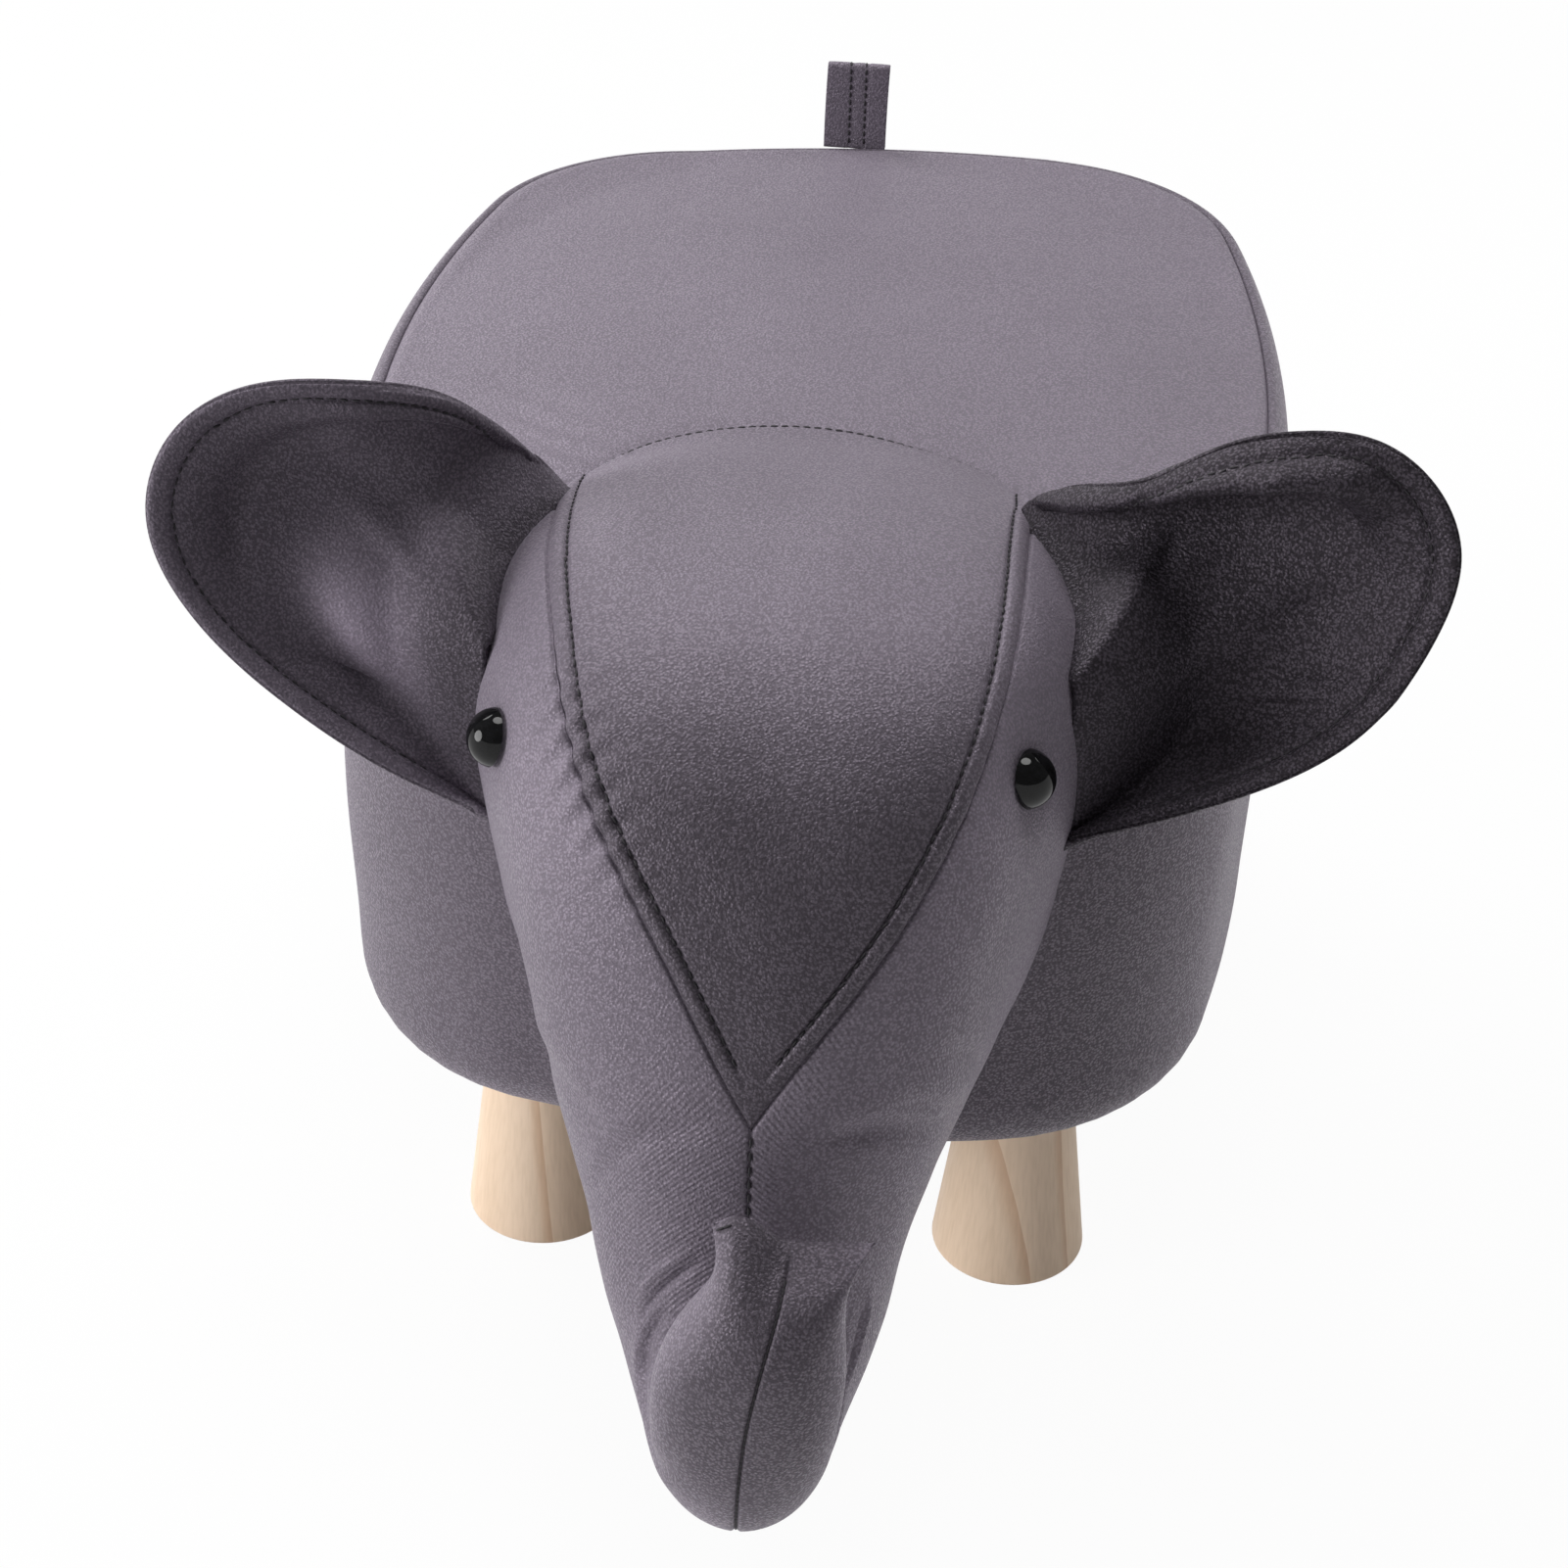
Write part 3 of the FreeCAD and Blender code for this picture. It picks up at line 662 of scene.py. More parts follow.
def plan_points(angle, inset):
    """Plan outline of the block by the direction of its normal, drawn in by an inset.

    Each quarter is a long side arc, a corner arc and an end arc that meet in tangents.
    """
    sine = np.sin(PLAN_SIDE_TURN)
    sag = 1 - np.cos(PLAN_SIDE_TURN)
    spare_x = HALF_WIDTH - PLAN_CORNER
    spare_y = HALF_LENGTH - PLAN_CORNER
    spread = sine ** 2 - sag ** 2
    corner_x = (spare_x * sine - spare_y * sag) / spread * sine
    corner_y = (spare_y * sine - spare_x * sag) / spread * sine
    side_radius = PLAN_CORNER + corner_y / sine
    end_radius = PLAN_CORNER + corner_x / sine
    c, s = np.cos(angle), np.sin(angle)
    turn = np.arctan2(np.abs(s), np.abs(c))
    on_side = turn < PLAN_SIDE_TURN
    on_end = turn > np.pi / 2 - PLAN_SIDE_TURN
    centre_x = np.where(on_side, HALF_WIDTH - side_radius, np.where(on_end, 0, corner_x))
    centre_y = np.where(on_side, 0, np.where(on_end, HALF_LENGTH - end_radius, corner_y))
    radius = np.where(on_side, side_radius, np.where(on_end, end_radius, PLAN_CORNER)) - inset
    x = np.sign(c) * centre_x + radius * c
    y = np.sign(s) * centre_y + radius * s
    return np.stack(np.broadcast_arrays(x, y + BLOCK_Y), -1)


def block_rings(profile, rows, fine_from, fine_rows):
    """Rings of the block: a profile of inset and level, smoothed and read along its length, round the plan.

    The profile is read more closely from one of its points on.
    """
    profile = np.array(profile)
    run = run_along(profile)
    where = np.concatenate([np.linspace(0, run[fine_from], rows, endpoint=False),
                            np.linspace(run[fine_from], run[-1], fine_rows)])
    inset, level = spline(run, profile, where).T
    angle = plan_angles(BLOCK_COLUMNS)
    rings = np.empty((len(where), BLOCK_COLUMNS, 3))
    rings[..., :2] = plan_points(angle[None, :], inset[:, None])
    rings[..., 2] = level[:, None]
    return rings


def seat_level(x, y):
    """Height of the seat's top: a low crown that falls off as a power of the distance from the middle."""
    share = np.hypot(x / (HALF_WIDTH - EDGE_ROUND), (y - BLOCK_Y) / (HALF_LENGTH - EDGE_ROUND))
    return SEAT_LEVEL + SEAT_CROWN * np.clip(1 - share ** SEAT_FALL, 0, None)


def rear_seam_y(x):
    """Place along Y of the forehead's seam on the seat."""
    return spline(REAR_SEAM[:, 0], REAR_SEAM[:, 1], x)[..., 0]


def rear_gap(points):
    """Distance along Y from each point back to the forehead's seam on the seat; negative behind it."""
    return rear_seam_y(np.clip(points[..., 0], REAR_SEAM[0, 0], REAR_SEAM[-1, 0])) - points[..., 1]


def rear_tilt(points):
    """Rise of the block's rear top edge to the right and fall to the left, where its foam lies unevenly."""
    across = np.clip(points[..., 0] / REAR_TILT_ACROSS, -1, 1)
    back = smooth_step(BLOCK_Y, BLOCK_Y + HALF_LENGTH - 10, points[..., 1])
    high = smooth_step(SEAM_LEVEL - REAR_TILT_DOWN, SEAM_LEVEL, points[..., 2])
    return REAR_TILT * across * back * high


def seat_wrinkles(points):
    """Wrinkles pulled by the left ear: a sine across a slanted direction, wandering, within a round patch."""
    x, y = points[..., 0], points[..., 1]
    pull = bell(np.hypot(x - WRINKLE_PLACE[0], y - WRINKLE_PLACE[1]) / WRINKLE_SPREAD)
    wander = 0.45 * soft_waves(points, 46.0, 9)
    return WRINKLE_HEIGHT * pull * np.sin(((y * 0.9 + x * 0.35) / WRINKLE_LENGTH + wander) * 2 * np.pi)


def seat_cover():
    """Seat panel over its foam: a flat bottom, upright hidden walls, a rolled seam edge and a low crown."""
    wall = SEAM_INSET + 1.0
    profile = [
        (60.0, BOARD_TOP), (30.0, BOARD_TOP), (wall + 3.0, BOARD_TOP), (wall, BOARD_TOP + 3.0),
        (wall, SEAM_LEVEL - 8.0), (wall - 0.4, SEAM_LEVEL - 2.0), (wall - 0.5, SEAM_LEVEL + 1.2),
        (wall + 0.3, SEAM_LEVEL + 2.7), (wall + 2.2, SEAM_LEVEL + 3.7), (wall + 6.0, SEAT_LEVEL + 0.1),
    ]
    lower = block_rings(profile, 24, 4, 44)
    share = np.linspace(1, 0.02, 120)[1:, None, None]
    middle = np.array([0, BLOCK_Y, 0])
    top = middle + (lower[-1] - middle) * np.array([1, 1, 0]) * share
    top[..., 2] = seat_level(top[..., 0], top[..., 1])
    top[..., 2] += unevenness(top, SEAT_WAVES) * (1 - share[..., 0]) ** 0.5
    behind = -rear_gap(top)
    top[..., 2] -= 0.9 * bell(np.clip(behind, 0, None) / 5.0) * smooth_step(-30, -8, behind)
    top[..., 2] += seat_wrinkles(top)
    rings = np.concatenate([lower, top])
    rings[..., 2] += rear_tilt(rings)
    piece = add_lathe("seat_cover", rings, "stool", SUEDE)
    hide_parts("seat_panel", "seat_foam")


def side_cover():
    """Side panel over its foam: a closed ring that swells a little, meets the seat's seam and turns under."""
    outer = [
        (COVER_TUCK, BLOCK_BOTTOM), (LOW_ROUND, BLOCK_BOTTOM), (6.0, BLOCK_BOTTOM + 5.0),
        (1.5, BLOCK_BOTTOM + 13.0), (0.0, BLOCK_BOTTOM + 30.0), (-1.0, BLOCK_BOTTOM + 80.0),
        (-1.4, SEAM_LEVEL - 40.0), (-0.8, SEAM_LEVEL - 12.0), (1.2, SEAM_LEVEL - 3.2),
        (3.6, SEAM_LEVEL + 1.0), (5.7, SEAM_LEVEL + 2.5), (SEAM_INSET, SEAM_LEVEL + 2.2),
        (SEAM_INSET + 0.5, SEAM_LEVEL + 0.4), (SEAM_INSET + 0.5, SEAM_LEVEL - 3.0),
    ]
    inner = [
        (SEAM_INSET + 0.6, SEAM_LEVEL - 14.0), (WALL_INSET, BOARD_TOP - 4.0),
        (WALL_INSET, BLOCK_BOTTOM + 60.0), (WALL_INSET, BLOCK_BOTTOM + 3.0),
        (COVER_TUCK, BLOCK_BOTTOM + 1.2),
    ]
    outside = block_rings(outer, 90, 7, 50)
    inside = block_rings(inner, 8, 1, 16)
    angle = plan_angles(BLOCK_COLUMNS)
    normal = np.stack([np.cos(angle), np.sin(angle), 0 * angle], -1)
    height = (outside[..., 2] - BLOCK_BOTTOM) / (SEAM_LEVEL - BLOCK_BOTTOM)
    open_wall = np.clip(4 * height * (1 - height), 0, None)
    sag = unevenness(outside, SIDE_WAVES) + unevenness(outside * np.array([1, 1, 0.35]), SIDE_RIPPLES)
    gathers = np.sin(angle * SIDE_GATHERS) * bell(height / 0.12)
    outside = outside + normal * (sag * open_wall + 0.35 * gathers * open_wall ** 0.5)[..., None]
    rings = np.concatenate([outside, inside])
    rings[..., 2] += rear_tilt(rings)
    faces = [grid_faces(len(rings), BLOCK_COLUMNS, wrap_rows=True, wrap_columns=True)]
    piece = add_piece("side_cover", rings, faces, "stool", SUEDE)
    # Nap of the side panel, darker still on its front right by a painted shadow of the head and right ear
    turned = bell((angle - SIDE_PAINTED_SHADOW_PLACE) / 0.5)
    mark(piece, "nap_and_painted_light", np.broadcast_to(SIDE_NAP * (1 + SIDE_PAINTED_SHADOW_GAIN * turned), rings.shape[:2]))
    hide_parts("side_panel", "side_foam")


def dust_cloth():
    """Cloth stretched under the base inside the tucked cover: the plan drawn in, with a faint sag."""
    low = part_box("dust_cover")[0].z / MM
    angle = plan_angles(160)
    rim = np.concatenate([plan_points(angle, COVER_TUCK + 0.4), np.zeros((len(angle), 1))], 1)
    middle = np.array([0, BLOCK_Y, 0])
    share = np.linspace(0.02, 1, 40)[:, None, None]
    flat = middle + (rim - middle) * share
    ripple = unevenness(flat, CLOTH_RIPPLES) * (1 - share[..., 0])
    below = flat + np.stack([0 * ripple, 0 * ripple, low + 0.12 + ripple], -1)
    above = flat + np.stack([0 * ripple, 0 * ripple, low + 0.55 + ripple], -1)
    piece = add_lathe("dust_cloth", np.concatenate([below, above[::-1]]), "stool", DUST_CLOTH)
    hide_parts("dust_cover")


# Head and trunk

def head_surface(station, turn):
    """Point of the head for a station along it and a turn round it, from the front line.

    Each section is a rounded square (superellipse) between a front and a back point; all its sizes are
    smooth curves of the station. At the tip the corners rise, the left one to a peak.
    """
    front_y, front_z, back_y, back_z, half_width, lean, square, top_share = np.moveaxis(
        spline(STATIONS, HEAD_SECTIONS, station), -1, 0)
    across = rounded(np.sin(turn), 2 / square)
    upward = rounded(np.cos(turn), 2 / square)
    x = lean + half_width * across * (1 + top_share * upward)
    y = FRONT_Y + (front_y + back_y) / 2 + (front_y - back_y) / 2 * upward
    z = (front_z + back_z) / 2 + (front_z - back_z) / 2 * upward
    peak = smooth_step(0.05, 0.6, -across) * (1 - 0.6 * smooth_step(0.7, 1.0, -across))
    corner = TIP_CORNER_LIFT * across ** 2 + TIP_LEFT_PEAK * peak
    z = z + corner * smooth_step(LAST_STATION - 1.2, LAST_STATION, station)
    return np.stack(np.broadcast_arrays(x, y, z), -1)


def seam_turn(station, column):
    """Turn of the left (1) or right (2) seam: where the section is as far from its middle as the seam.

    Past the shield's point both follow the trunk's front seam, which returns slowly to the middle.
    """
    on_shield = np.clip(station, 0, SHIELD_POINT)
    shield = spline(SHIELD_SEAMS[:, 0], SHIELD_SEAMS[:, column], on_shield)[..., 0]
    trunk = SHIELD_SEAMS[-1, 1] * (1 - smooth_step(SHIELD_POINT + 1, SHIELD_POINT + 4, station))
    away = np.where(station < SHIELD_POINT, shield, trunk)
    sizes = spline(STATIONS, HEAD_SECTIONS, station)
    share = np.clip(np.abs(away) / sizes[..., 4], 0, 0.97) ** (sizes[..., 6] / 2)
    return np.sign(away) * np.arcsin(share)


def head_normals(station, turn):
    """Outward normals of the head: cross product of small steps along the station and round the turn."""
    step = 0.004
    along = head_surface(station + step, turn) - head_surface(station - step, turn)
    around = head_surface(station, turn + step) - head_surface(station, turn - step)
    return unit(np.cross(along, around))


def row_run(points):
    """Distance along each grid row from its first point."""
    steps = np.linalg.norm(np.diff(points, axis=1), axis=-1)
    return np.concatenate([np.zeros((len(points), 1)), np.cumsum(steps, axis=1)], axis=1)


def seam_run(points):
    """Distance down a grid's first column."""
    return np.cumsum(np.linalg.norm(np.gradient(points[:, :1], axis=0), axis=-1), axis=0)


def roll_into_seat(points):
    """Lift a head panel to a low lip over the seat in front of its rear seam, and roll it down there."""
    level = seat_level(points[..., 0], points[..., 1])
    ahead = rear_gap(points)
    on_seat = smooth_step(FRONT_Y + 30, FRONT_Y + 60, points[..., 1])
    above = points[..., 2] - level - REAR_LIP
    padded = level + REAR_LIP + 1.2 * np.logaddexp(0, above / 1.2)
    height = points[..., 2] + (padded - points[..., 2]) * on_seat
    roll = np.sqrt(1 - (1 - np.clip(ahead / 1.6, 0, 1)) ** 2)
    sunk = level - 2.0 + (height - level + 2.0) * roll
    points[..., 2] = height + (sunk - height) * on_seat
    return points


def crease(station, turn, start, end, width):
    """1 on a straight crease between two places (station, degrees of turn), falling off all round it."""
    first = np.array([start[0], np.radians(start[1]) * 2])
    along = np.array([end[0], np.radians(end[1]) * 2]) - first
    length = np.linalg.norm(along)
    along = along / length
    a, b = station - first[0], turn * 2 - first[1]
    forward = (a * along[0] + b * along[1]) / length
    beside = a * along[1] - b * along[0]
    return bell(beside / width) * smooth_step(-0.2, 0.25, forward) * smooth_step(-0.2, 0.25, 1 - forward)


def face_shape(points, station, turn):
    """Softness of the head, along its normal: faint dents, and folds with a swell beside."""
    lift = unevenness(points, HEAD_WAVES)
    for start, end, width, depth in HEAD_FOLDS:
        lift = lift - depth * crease(station, turn, start, end, width)
        lift = lift + 0.5 * depth * crease(station + 0.22, turn, start, end, width * 1.3)
    return lift


def eye_seat(points, normals, sign):
    """Lift that brings the cheek to the foot of its eye, with a small pulled-in hollow round it."""
    foot = EYE_FOOT * np.array([sign, 1, 1])
    away = np.linalg.norm(points - foot, axis=-1)
    nearest = np.unravel_index(away.argmin(), away.shape)
    short = np.dot(foot - points[nearest], normals[nearest])
    return (short + 0.7) * bell(away / 24.0) - 1.3 * bell(away / 11.0)


def sewn_edge(run):
    """Drop of a panel toward its sewn edge, by the distance from it."""
    return -0.8 * bell(run / 0.6) - 0.3 * bell(run / 3.0)


def puckers(station, phase_run, from_edge, share, reach):
    """Waves of the cover pinched by its seam, strongest at one station and fading away from the edge."""
    pinch = np.exp(-(station - PUCKER_PLACE) ** 2 / 0.5) * share
    return PUCKER * pinch * np.sin(phase_run / PUCKER_PITCH * 2 * np.pi) * bell(from_edge / reach)


def forehead_cover():
    """Forehead panel: the head's front between its side seams, down to the shield's point.

    Beside each seam runs a raised band, closed off by a stitched groove; the left one is puckered.
    """
    station = np.linspace(0, SHIELD_POINT, 230)[:, None]
    share = np.sin(np.linspace(-np.pi / 2, np.pi / 2, 150))[None, :]
    left = seam_turn(station, 1)
    right = seam_turn(station, 2)
    turn = left + (right - left) * (share + 1) / 2
    points = head_surface(station, turn)
    normals = head_normals(station, turn)
    run = row_run(points)
    along = seam_run(points)
    from_edge = np.minimum(run, run[:, -1:] - run)
    lift = face_shape(points, station, turn) + sewn_edge(from_edge)
    room = smooth_step(2.2 * SEAM_BAND, 5 * SEAM_BAND, run[:, -1:])
    band = np.clip((from_edge - 0.3) / (SEAM_BAND - 0.3), 0, 1)
    lift = lift + 0.7 * room * np.sin(np.pi * band) ** 0.8
    lift = lift - 0.9 * room * bell((from_edge - SEAM_BAND) / 0.8)
    pinched = np.where(turn < 0, PUCKER_SHARES["left"], PUCKER_SHARES["right"])
    lift = lift + puckers(station, along + 0.4 * run, from_edge, pinched, 11.0)
    lift = lift + 0.18 * np.sin(along / TOPSTITCH[0] * 2 * np.pi) * bell((from_edge - SEAM_BAND) / 1.6)
    points = roll_into_seat(points + normals * lift[..., None])
    piece = add_shell("forehead_cover", points[:, ::-1], "stool", SUEDE, COVER_THICKNESS)
    # Darker nap with painted shade: a little at the forehead's top, full where it turns down to face forward
    mark(piece, "nap_and_painted_light", FOREHEAD_NAP_AND_PAINTED_SHADE * (0.15 + 0.85 * smooth_step(2.7, 4.3, station)) + 0 * turn)
    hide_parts("forehead_panel")
    rows = np.arange(len(points))
    wide = run[:, -1] > 3 * SEAM_BAND
    lines = []
    for edge_run in (run, run[:, -1:] - run):
        column = np.abs(edge_run - SEAM_BAND).argmin(1)
        up = normals[rows, column]
        lines.append((points[rows, column][wide] + 0.25 * up[wide], up[wide]))
    across = np.linspace(-68, 64, 120)
    rear = np.stack([across, rear_seam_y(across) - 0.9, 0 * across], -1)
    rear[:, 2] = seat_level(rear[:, 0], rear[:, 1]) + REAR_LIP - 0.15
    lines.append((rear, np.tile([0.0, 0.0, 1.0], (len(rear), 1))))
    add_stitches("forehead_stitches", lines, "stool", *TOPSTITCH)


def face_grid(side):
    """Cheek and half of the trunk as a grid: from the forehead's or the trunk's front seam to the underside.

    Gives the stations, turns, points, normals, distances from the front edge and along it.
    """
    sign = SIDES[side]
    station = np.linspace(0, LAST_STATION, 370)[:, None]
    share = (1 - np.cos(np.linspace(0, np.pi, 130)))[None, :] / 2
    first = seam_turn(station, 1 if sign < 0 else 2)
    turn = first + (sign * np.pi - first) * share
    points = head_surface(station, turn)
    normals = head_normals(station, turn)
    run = row_run(points)
    along = seam_run(points)
    lift = face_shape(points, station, turn) + sewn_edge(run) + eye_seat(points, normals, sign)
    lift = lift - 0.9 * bell((run[:, -1:] - run) / 0.7)
    lift = lift + puckers(station, along - 0.5 * run, run, PUCKER_SHARES[side], 8.0)
    lift = lift * (1 - smooth_step(LAST_STATION - 0.35, LAST_STATION, station))
    points = roll_into_seat(points + normals * lift[..., None])
    return station, turn, points, normals, run, along


def face_cover(side):
    """Cheek and half of the trunk, with fine ribs that slant away from the seam, the nap laid by panel,
    painted light on the upper cheek and painted shade on the trunk's tip.
    """
    station, turn, points, _, run, along = face_grid(side)
    phase = (0.8 * along - 0.6 * run) / RIB_PITCH
    weight = smooth_step(*RIB_STARTS[side], station) * (1 - smooth_step(*RIB_END, station))
    weight = weight * bell(run / RIB_REACH)
    weight = weight * np.clip(0.75 + 0.5 * soft_waves(points, 38.0, 21), 0, 1)
    nap_and_painted_light = CHEEK_NAP * smooth_step(0.5, 3.0, station) * (1 - smooth_step(8.6, 10.4, station)) + 0 * turn
    # Painted light on the upper cheek
    nap_and_painted_light = nap_and_painted_light + UPPER_CHEEK_PAINTED_LIGHT * smooth_step(0.3, 1.5, station) * (1 - smooth_step(3.6, 5.2, station))
    # Painted shade on the trunk's tip
    nap_and_painted_light = nap_and_painted_light + TIP_PAINTED_SHADE * smooth_step(9.6, 11.0, station) * smooth_step(1.5, 2.6, np.abs(turn))
    grids = [grid[:, ::-SIDES[side]] for grid in (points, phase, weight, nap_and_painted_light)]
    piece = add_shell(f"{side}_face_cover", grids[0], "stool", SUEDE, COVER_THICKNESS / 2)
    for name, values in zip(("rib_phase", "rib_weight", "nap_and_painted_light"), grids[1:]):
        mark(piece, name, values)
    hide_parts(f"{side}_face_panel")


def trunk_stitches():
    """Thread loops in the trunk's front seam to the bend, and close thread below and in the tip's slit."""
    station, turn, points, normals = face_grid("left")[:4]
    place = station[:, 0]
    front = (place > SHIELD_POINT - 0.05) & (place < SHIELD_POINT + 1.8)
    under = (place > 8.0) & (place < LAST_STATION - 0.3)
    top = np.abs(place - LAST_STATION + 0.10).argmin()
    peak = (turn[top] < -0.56 * np.pi) & (turn[top] > -0.82 * np.pi)
    slit = points[top, peak] + 0.2 * normals[top, peak]
    lines = [(points[under, -1], normals[under, -1]), (slit, normals[top, peak])]
    add_stitches("trunk_seam_thread", lines, "stool", *CLOSE_THREAD)
    line = points[front, 0] + 0.7 * normals[front, 0]
    add_stitches("trunk_stitches", [(line, normals[front, 0])], "stool", *TRUNK_LOOP)


# Ears

def ear_sheet(side, ray, along):
    """Middle surface of an ear: straight rays from the sewn root to the rim, sunk to a cup with soft folds.

    Along runs from the upper to the lower root, ray from the root to the rim. Under the upper rim a brow may
    come forward and fall back steeply below. The lower part hangs clear of the block's front, above the
    seat it may lean back, and toward the upper root it is free.
    """
    rim = EAR_RIMS[side]
    knots = run_along(rim)
    edge = spline(knots / knots[-1], rim, along)
    root_line = EAR_ROOT_LINES[side]
    root = spline(np.linspace(0, 1, len(root_line)), root_line, along)
    sheet = root + (edge - root) * ray[..., None]
    deep = 4 * ray * (1 - ray) * np.sin(np.pi * along) ** 0.7
    folds = np.sin(2 * np.pi * (2.3 * along + 0.25 * ray) + EAR_FOLD_PHASES[side])
    brow = smooth_step(EAR_BROW_PLACE - EAR_BROW_EDGE, EAR_BROW_PLACE, ray)
    brow = brow * smooth_step(1.0, EAR_BROW_PLACE, ray)
    reach = np.interp(along, *EAR_BROWS[side].T)
    sheet[..., 1] += EAR_CUPS[side] * deep + EAR_FOLD_HEIGHT * folds * deep * ray - reach * brow
    for ray_place, place, ray_spread, spread, depth in EAR_DENTS[side]:
        from_dent = ((ray - ray_place) / ray_spread) ** 2 + ((along - place) / spread) ** 2
        sheet[..., 1] += depth * np.exp(-from_dent)
    outline = plan_points(np.linspace(np.pi, 2 * np.pi, 400), 0.0)
    limit = np.interp(sheet[..., 0], outline[:, 0], outline[:, 1]) - EAR_CLEAR
    above = sheet[..., 2] - EAR_LEAN_START
    limit = limit + EAR_LEAN * EAR_LEAN_SOFT * np.logaddexp(0, above / EAR_LEAN_SOFT)
    limit = limit + EAR_FREE_REACH * (1 - smooth_step(*EAR_FREE_ROOT, along))
    sheet[..., 1] = limit - EAR_CLEAR_SOFT * np.logaddexp(0, (limit - sheet[..., 1]) / EAR_CLEAR_SOFT)
    return sheet


def ear_painted_light(side, ray, along):
    """Painted light and shade of an ear's front: even painted shade on the right; on the left also a painted
    sheen patch, a painted lighter hem and painted shade at the root.
    """
    ray_away = (ray - EAR_SHEEN_PLACE[0]) / EAR_SHEEN_SPREAD[0]
    rim_away = (along - EAR_SHEEN_PLACE[1]) / EAR_SHEEN_SPREAD[1]
    # rubbed holds painted light: a sheen patch and a lighter hem, and below zero painted shade at the root
    rubbed = EAR_PAINTED_SHEEN * np.exp(-ray_away ** 2 - rim_away ** 2)
    rubbed = rubbed + EAR_HEM_PAINTED_LIGHT * smooth_step(0.88, 0.96, ray)
    rubbed = rubbed - EAR_ROOT_PAINTED_SHADE * (1 - smooth_step(0.12, 0.32, ray))
    return EAR_PAINTED_SHADES[side] + rubbed * (side == "left")


def ear_cover(side):
    """Two-ply ear: front and back faces beside the middle surface, quilted by stitches along the hem.

    The two plies roll over at the rim and meet in a fine notch.
    """
    sign = SIDES[side]
    along = np.linspace(0, 1, 190)[None, :]
    across = ear_sheet(side, np.ones_like(along), along) - ear_sheet(side, 0 * along, along)
    reach = np.linalg.norm(across, axis=-1)
    ray = np.sin(np.linspace(0.01, np.pi / 2, 90))[:, None] + 0 * along
    sheet = ear_sheet(side, ray, along)
    normal = grid_normals(sheet) * -sign
    inside = (1 - ray) * reach
    roll = np.sqrt(1 - (1 - np.clip(inside / EAR_ROLL, 0, 1)) ** 2)
    thick = EAR_HALF_THICKNESS * roll * 0.75 + EAR_HALF_THICKNESS * 0.25
    groove = bell((inside - EAR_HEM) / 0.9) * smooth_step(14, 30, reach)
    thick = thick + 0.5 * bell((inside - 0.5 * EAR_HEM) / 2.4) - 1.0 * groove
    front = sheet + normal * thick[..., None]
    back = sheet - normal * thick[..., None]
    notch = ear_sheet(side, 1 - 1.0 / np.maximum(reach, 8), along)
    loop = np.concatenate([front, notch, back[::-1]])[::sign]
    rows, columns = loop.shape[:2]
    first = np.arange(rows) * columns
    middles = np.stack([loop[:, 0].mean(0), loop[:, -1].mean(0)])
    points = np.concatenate([loop.reshape(-1, 3), middles])
    faces = [
        grid_faces(rows, columns, wrap_rows=True),
        fan_faces(first, rows * columns),
        fan_faces(first[::-1] + columns - 1, rows * columns + 1),
    ]
    piece = add_piece(f"{side}_ear_cover", points, faces, None, EAR_SUEDE_PAINTED_SHADE)
    # Painted shade over the ear's front, with the left ear's painted sheen, hem and root; the back ply and
    # the ends get the even painted shade
    nap_and_painted_light = ear_painted_light(side, ray, along)
    nap_and_painted_light = np.concatenate([nap_and_painted_light, nap_and_painted_light[-1:], np.full_like(nap_and_painted_light, EAR_PAINTED_SHADES[side])])
    mark(piece, "nap_and_painted_light", np.append(nap_and_painted_light[::sign], [EAR_PAINTED_SHADES[side]] * 2))
    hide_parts(f"{side}_ear_front", f"{side}_ear_back")
    column = np.arange(columns)
    row = np.abs(inside - EAR_HEM).argmin(0)
    sewn = reach[0] > 30
    up = normal[row, column][sewn]
    lines = [(front[row, column][sewn], up), (back[row, column][sewn], -up)]
    stitches = add_stitches(f"{side}_ear_stitches", lines, None, *TOPSTITCH)
    for part in (piece, stitches):
        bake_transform(part)


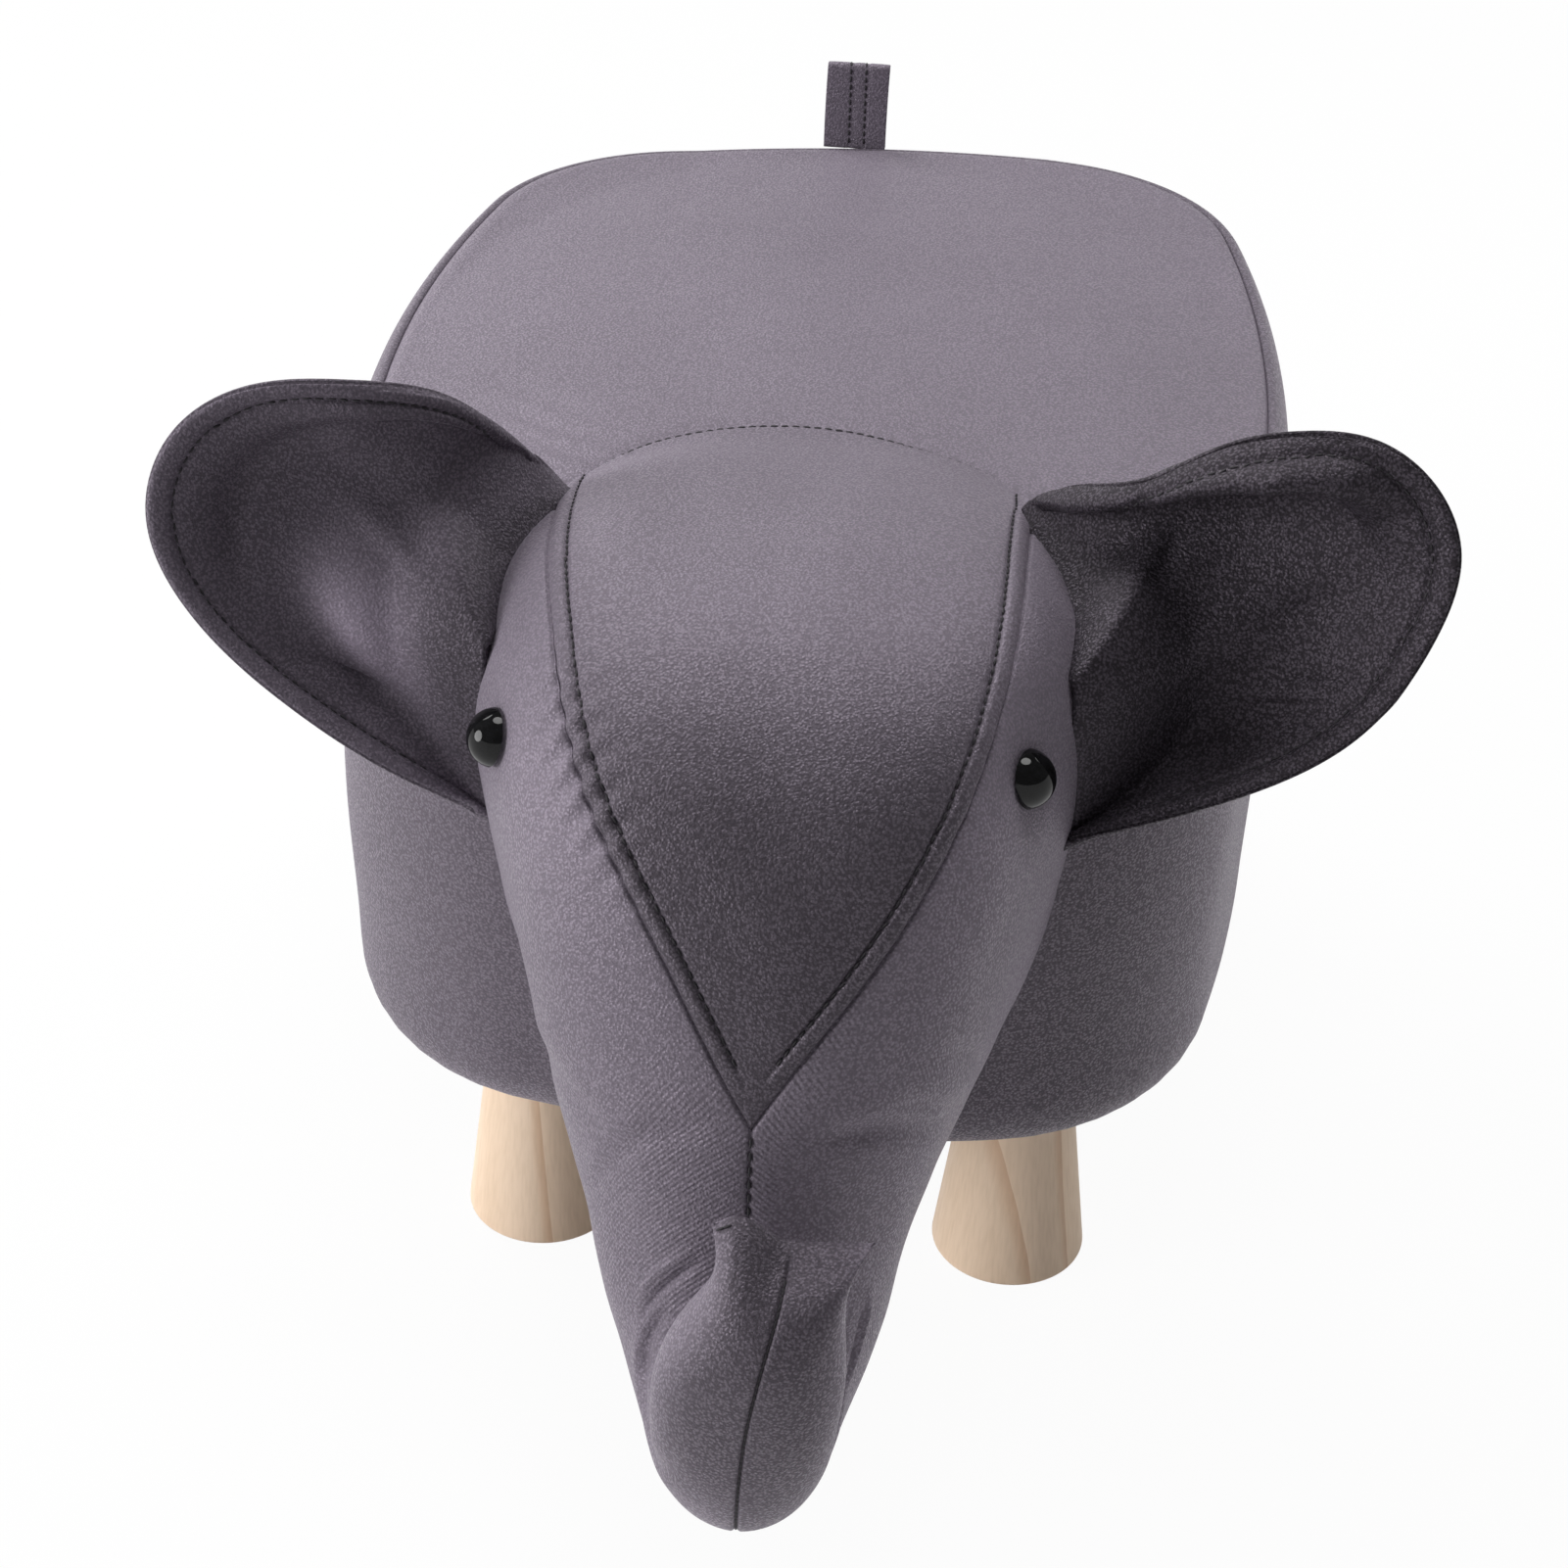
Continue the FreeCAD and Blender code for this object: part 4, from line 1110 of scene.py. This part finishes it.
def tail_strap():
    """Strap folded into a flat loop: a flat section carried up, over the fold and down, sewn twice."""
    low, high = (np.array(corner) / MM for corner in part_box("tail_loop"))
    middle = (low + high) / 2
    half_width = (high[0] - low[0]) / 2
    radius = (high[1] - low[1]) / 2 - TAIL_STRAP / 2
    rise = np.linspace(low[2], high[2] - radius - TAIL_STRAP / 2, 40)
    turn = np.linspace(0, np.pi, 18)[1:-1]
    path = np.concatenate([
        np.stack([np.full_like(rise, middle[1] - radius), rise], -1),
        np.stack([middle[1] - radius * np.cos(turn), rise[-1] + radius * np.sin(turn)], -1),
        np.stack([np.full_like(rise, middle[1] + radius), rise[::-1]], -1),
    ])
    along = unit(np.gradient(path, axis=0))
    out = np.stack([-along[:, 1], along[:, 0]], -1)
    angle = np.linspace(0, 2 * np.pi, 120, endpoint=False)
    across = rounded(np.cos(angle), 0.6) * half_width
    depth = rounded(np.sin(angle), 0.3) * TAIL_STRAP / 2
    depth = depth * (1 - 0.45 * sum(bell((across - place) / 0.7) for place in TAIL_SEAMS))
    lean = 1.2 * ((path[:, 1] - low[2]) / (high[2] - low[2])) ** 2
    rings = np.empty((len(path), len(angle), 3))
    rings[..., 0] = middle[0] - TAIL_SHIFT + across + 0.6 * lean[:, None]
    rings[..., 1:] = path[:, None, :] + depth[None, :, None] * out[:, None, :]
    piece = add_lathe("tail_strap", rings[:, ::-1], "tail", SUEDE)
    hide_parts("tail_loop")
    level = np.zeros((len(path), 1))
    normals = np.concatenate([level, out], 1)
    surface = np.concatenate([level, path + 0.35 * TAIL_STRAP * out], 1)
    lines = [(surface + np.array([middle[0] - TAIL_SHIFT + place, 0, 0]), normals) for place in TAIL_SEAMS]
    stitches = add_stitches("tail_stitches", lines, "tail", *TAIL_STITCH)


# Finishes of the nodes that stay

def dress_nodes():
    """Give each rigid node the finish of its stock: pine, plywood, hardboard, zinc and plastic."""
    finishes = {
        "_leg": PINE, "_post": POST_PINE, "_board": PLYWOOD, "wall_board": HARDBOARD, "_screws": ZINC,
        "_bolts": ZINC, "_nuts": ZINC, "staples": ZINC, "_eye": EYE_BLACK, "washers": WASHER_PLASTIC,
    }
    for name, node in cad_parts.items():
        for ending, finish in finishes.items():
            if name.endswith(ending):
                node.data.materials.clear()
                node.data.materials.append(finish)


# Surroundings, light and camera

def add_stage(name, points, faces, material):
    """Mesh of the surroundings, in metres."""
    mesh = bpy.data.meshes.new(name)
    mesh.from_pydata(points, [], faces)
    mesh.materials.append(material)
    add_object(name, mesh)


def floor():
    """Pale floor that stays white to the eye but for a faint shadow."""
    finish = Finish("floor_white")
    finish.surface({"Base Color": (0.8, 0.8, 0.8), "Roughness": 0.9, "Specular IOR Level": 0.1})
    white = finish.add("Emission", {})
    seen = finish.math("MULTIPLY", finish.seen_directly(), FLOOR_SEEN)
    sockets = {"Fac": seen, 1: finish.shader.outputs["BSDF"], 2: white.outputs["Emission"]}
    blend = finish.add("MixShader", sockets)
    finish.put(blend.outputs["Shader"], finish.nodes["Material Output"].inputs["Surface"])
    a = FLOOR_REACH
    add_stage("floor", [(-a, -a, 0), (a, -a, 0), (a, a, 0), (-a, a, 0)], [(0, 1, 2, 3)], finish.material)


def backdrop():
    """Low round wall at the floor's edge, white to the eye and as bright as the world in its light."""
    finish = Finish("backdrop_white")
    strength = finish.span(finish.seen_directly(), 0.0, 1.0, WORLD_LIGHT, FLOOR_SEEN)
    white = finish.add("Emission", {"Strength": strength})
    finish.put(white.outputs["Emission"], finish.nodes["Material Output"].inputs["Surface"])
    angle = np.linspace(0, 2 * np.pi, 96, endpoint=False)
    ring = np.stack([FLOOR_REACH * np.cos(angle), FLOOR_REACH * np.sin(angle), 0 * angle], -1)
    points = np.concatenate([ring, ring + np.array([0, 0, BACKDROP_HEIGHT])])
    faces = grid_faces(2, len(angle), wrap_columns=True)[:, ::-1]
    add_stage("backdrop", points.tolist(), faces.tolist(), finish.material)


def light_stool():
    """Even light from the world, and soft lamps behind, beside and above the stool."""
    world = bpy.data.worlds.new("studio")
    bpy.context.scene.world = world
    world.use_nodes = True
    background = world.node_tree.nodes["Background"]
    background.inputs["Color"].default_value = (1, 1, 1, 1)
    background.inputs["Strength"].default_value = WORLD_LIGHT
    for name, place, size, power in LAMPS:
        light = bpy.data.lights.new(name, "AREA")
        light.shape = "DISK"
        light.size = size
        light.energy = power
        place = np.array(place)
        aim(add_object(name, light), place, -unit(LAMP_TARGET - place), 0.0)


def aim(thing, place, back, roll):
    """Turn a lamp or camera so that it looks against its back direction, level but for a roll."""
    right = unit(np.cross([0, 0, 1], back))
    up = np.cross(back, right)
    turned = [right * np.cos(roll) + up * np.sin(roll), up * np.cos(roll) - right * np.sin(roll), back]
    matrix = np.eye(4)
    matrix[:3, :3] = np.stack(turned, 1)
    matrix[:3, 3] = place
    thing.matrix_world = [tuple(row) for row in matrix.T]


def camera():
    """Camera at the photograph's viewing angle, for a square frame."""
    azimuth, elevation, roll = np.radians(CAMERA_TURN)
    level = np.cos(elevation)
    back = np.array([np.sin(azimuth) * level, -np.cos(azimuth) * level, np.sin(elevation)])
    right = unit(np.cross([0, 0, 1], back))
    up = np.cross(back, right)
    target = np.array([0, BLOCK_Y, CAMERA_LEVEL]) - CAMERA_SHIFT[0] * right - CAMERA_SHIFT[1] * up
    data = bpy.data.cameras.new("camera")
    data.sensor_width = SENSOR_WIDTH
    data.lens = SENSOR_WIDTH * FOCAL_PIXELS / FRAME_PIXELS
    data.clip_end = 20
    view = add_object("camera", data)
    aim(view, (target + CAMERA_DISTANCE * back) * MM, back, roll)
    bpy.context.scene.camera = view


seat_cover()
side_cover()
dust_cloth()
forehead_cover()
trunk_stitches()
for side in SIDES:
    face_cover(side)
    ear_cover(side)
tail_strap()
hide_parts("head_filling")
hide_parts("trunk_filling", "trunk_tip_filling")
dress_nodes()
floor()
backdrop()
light_stool()
camera()
bpy.context.scene.view_settings.view_transform = "Standard"
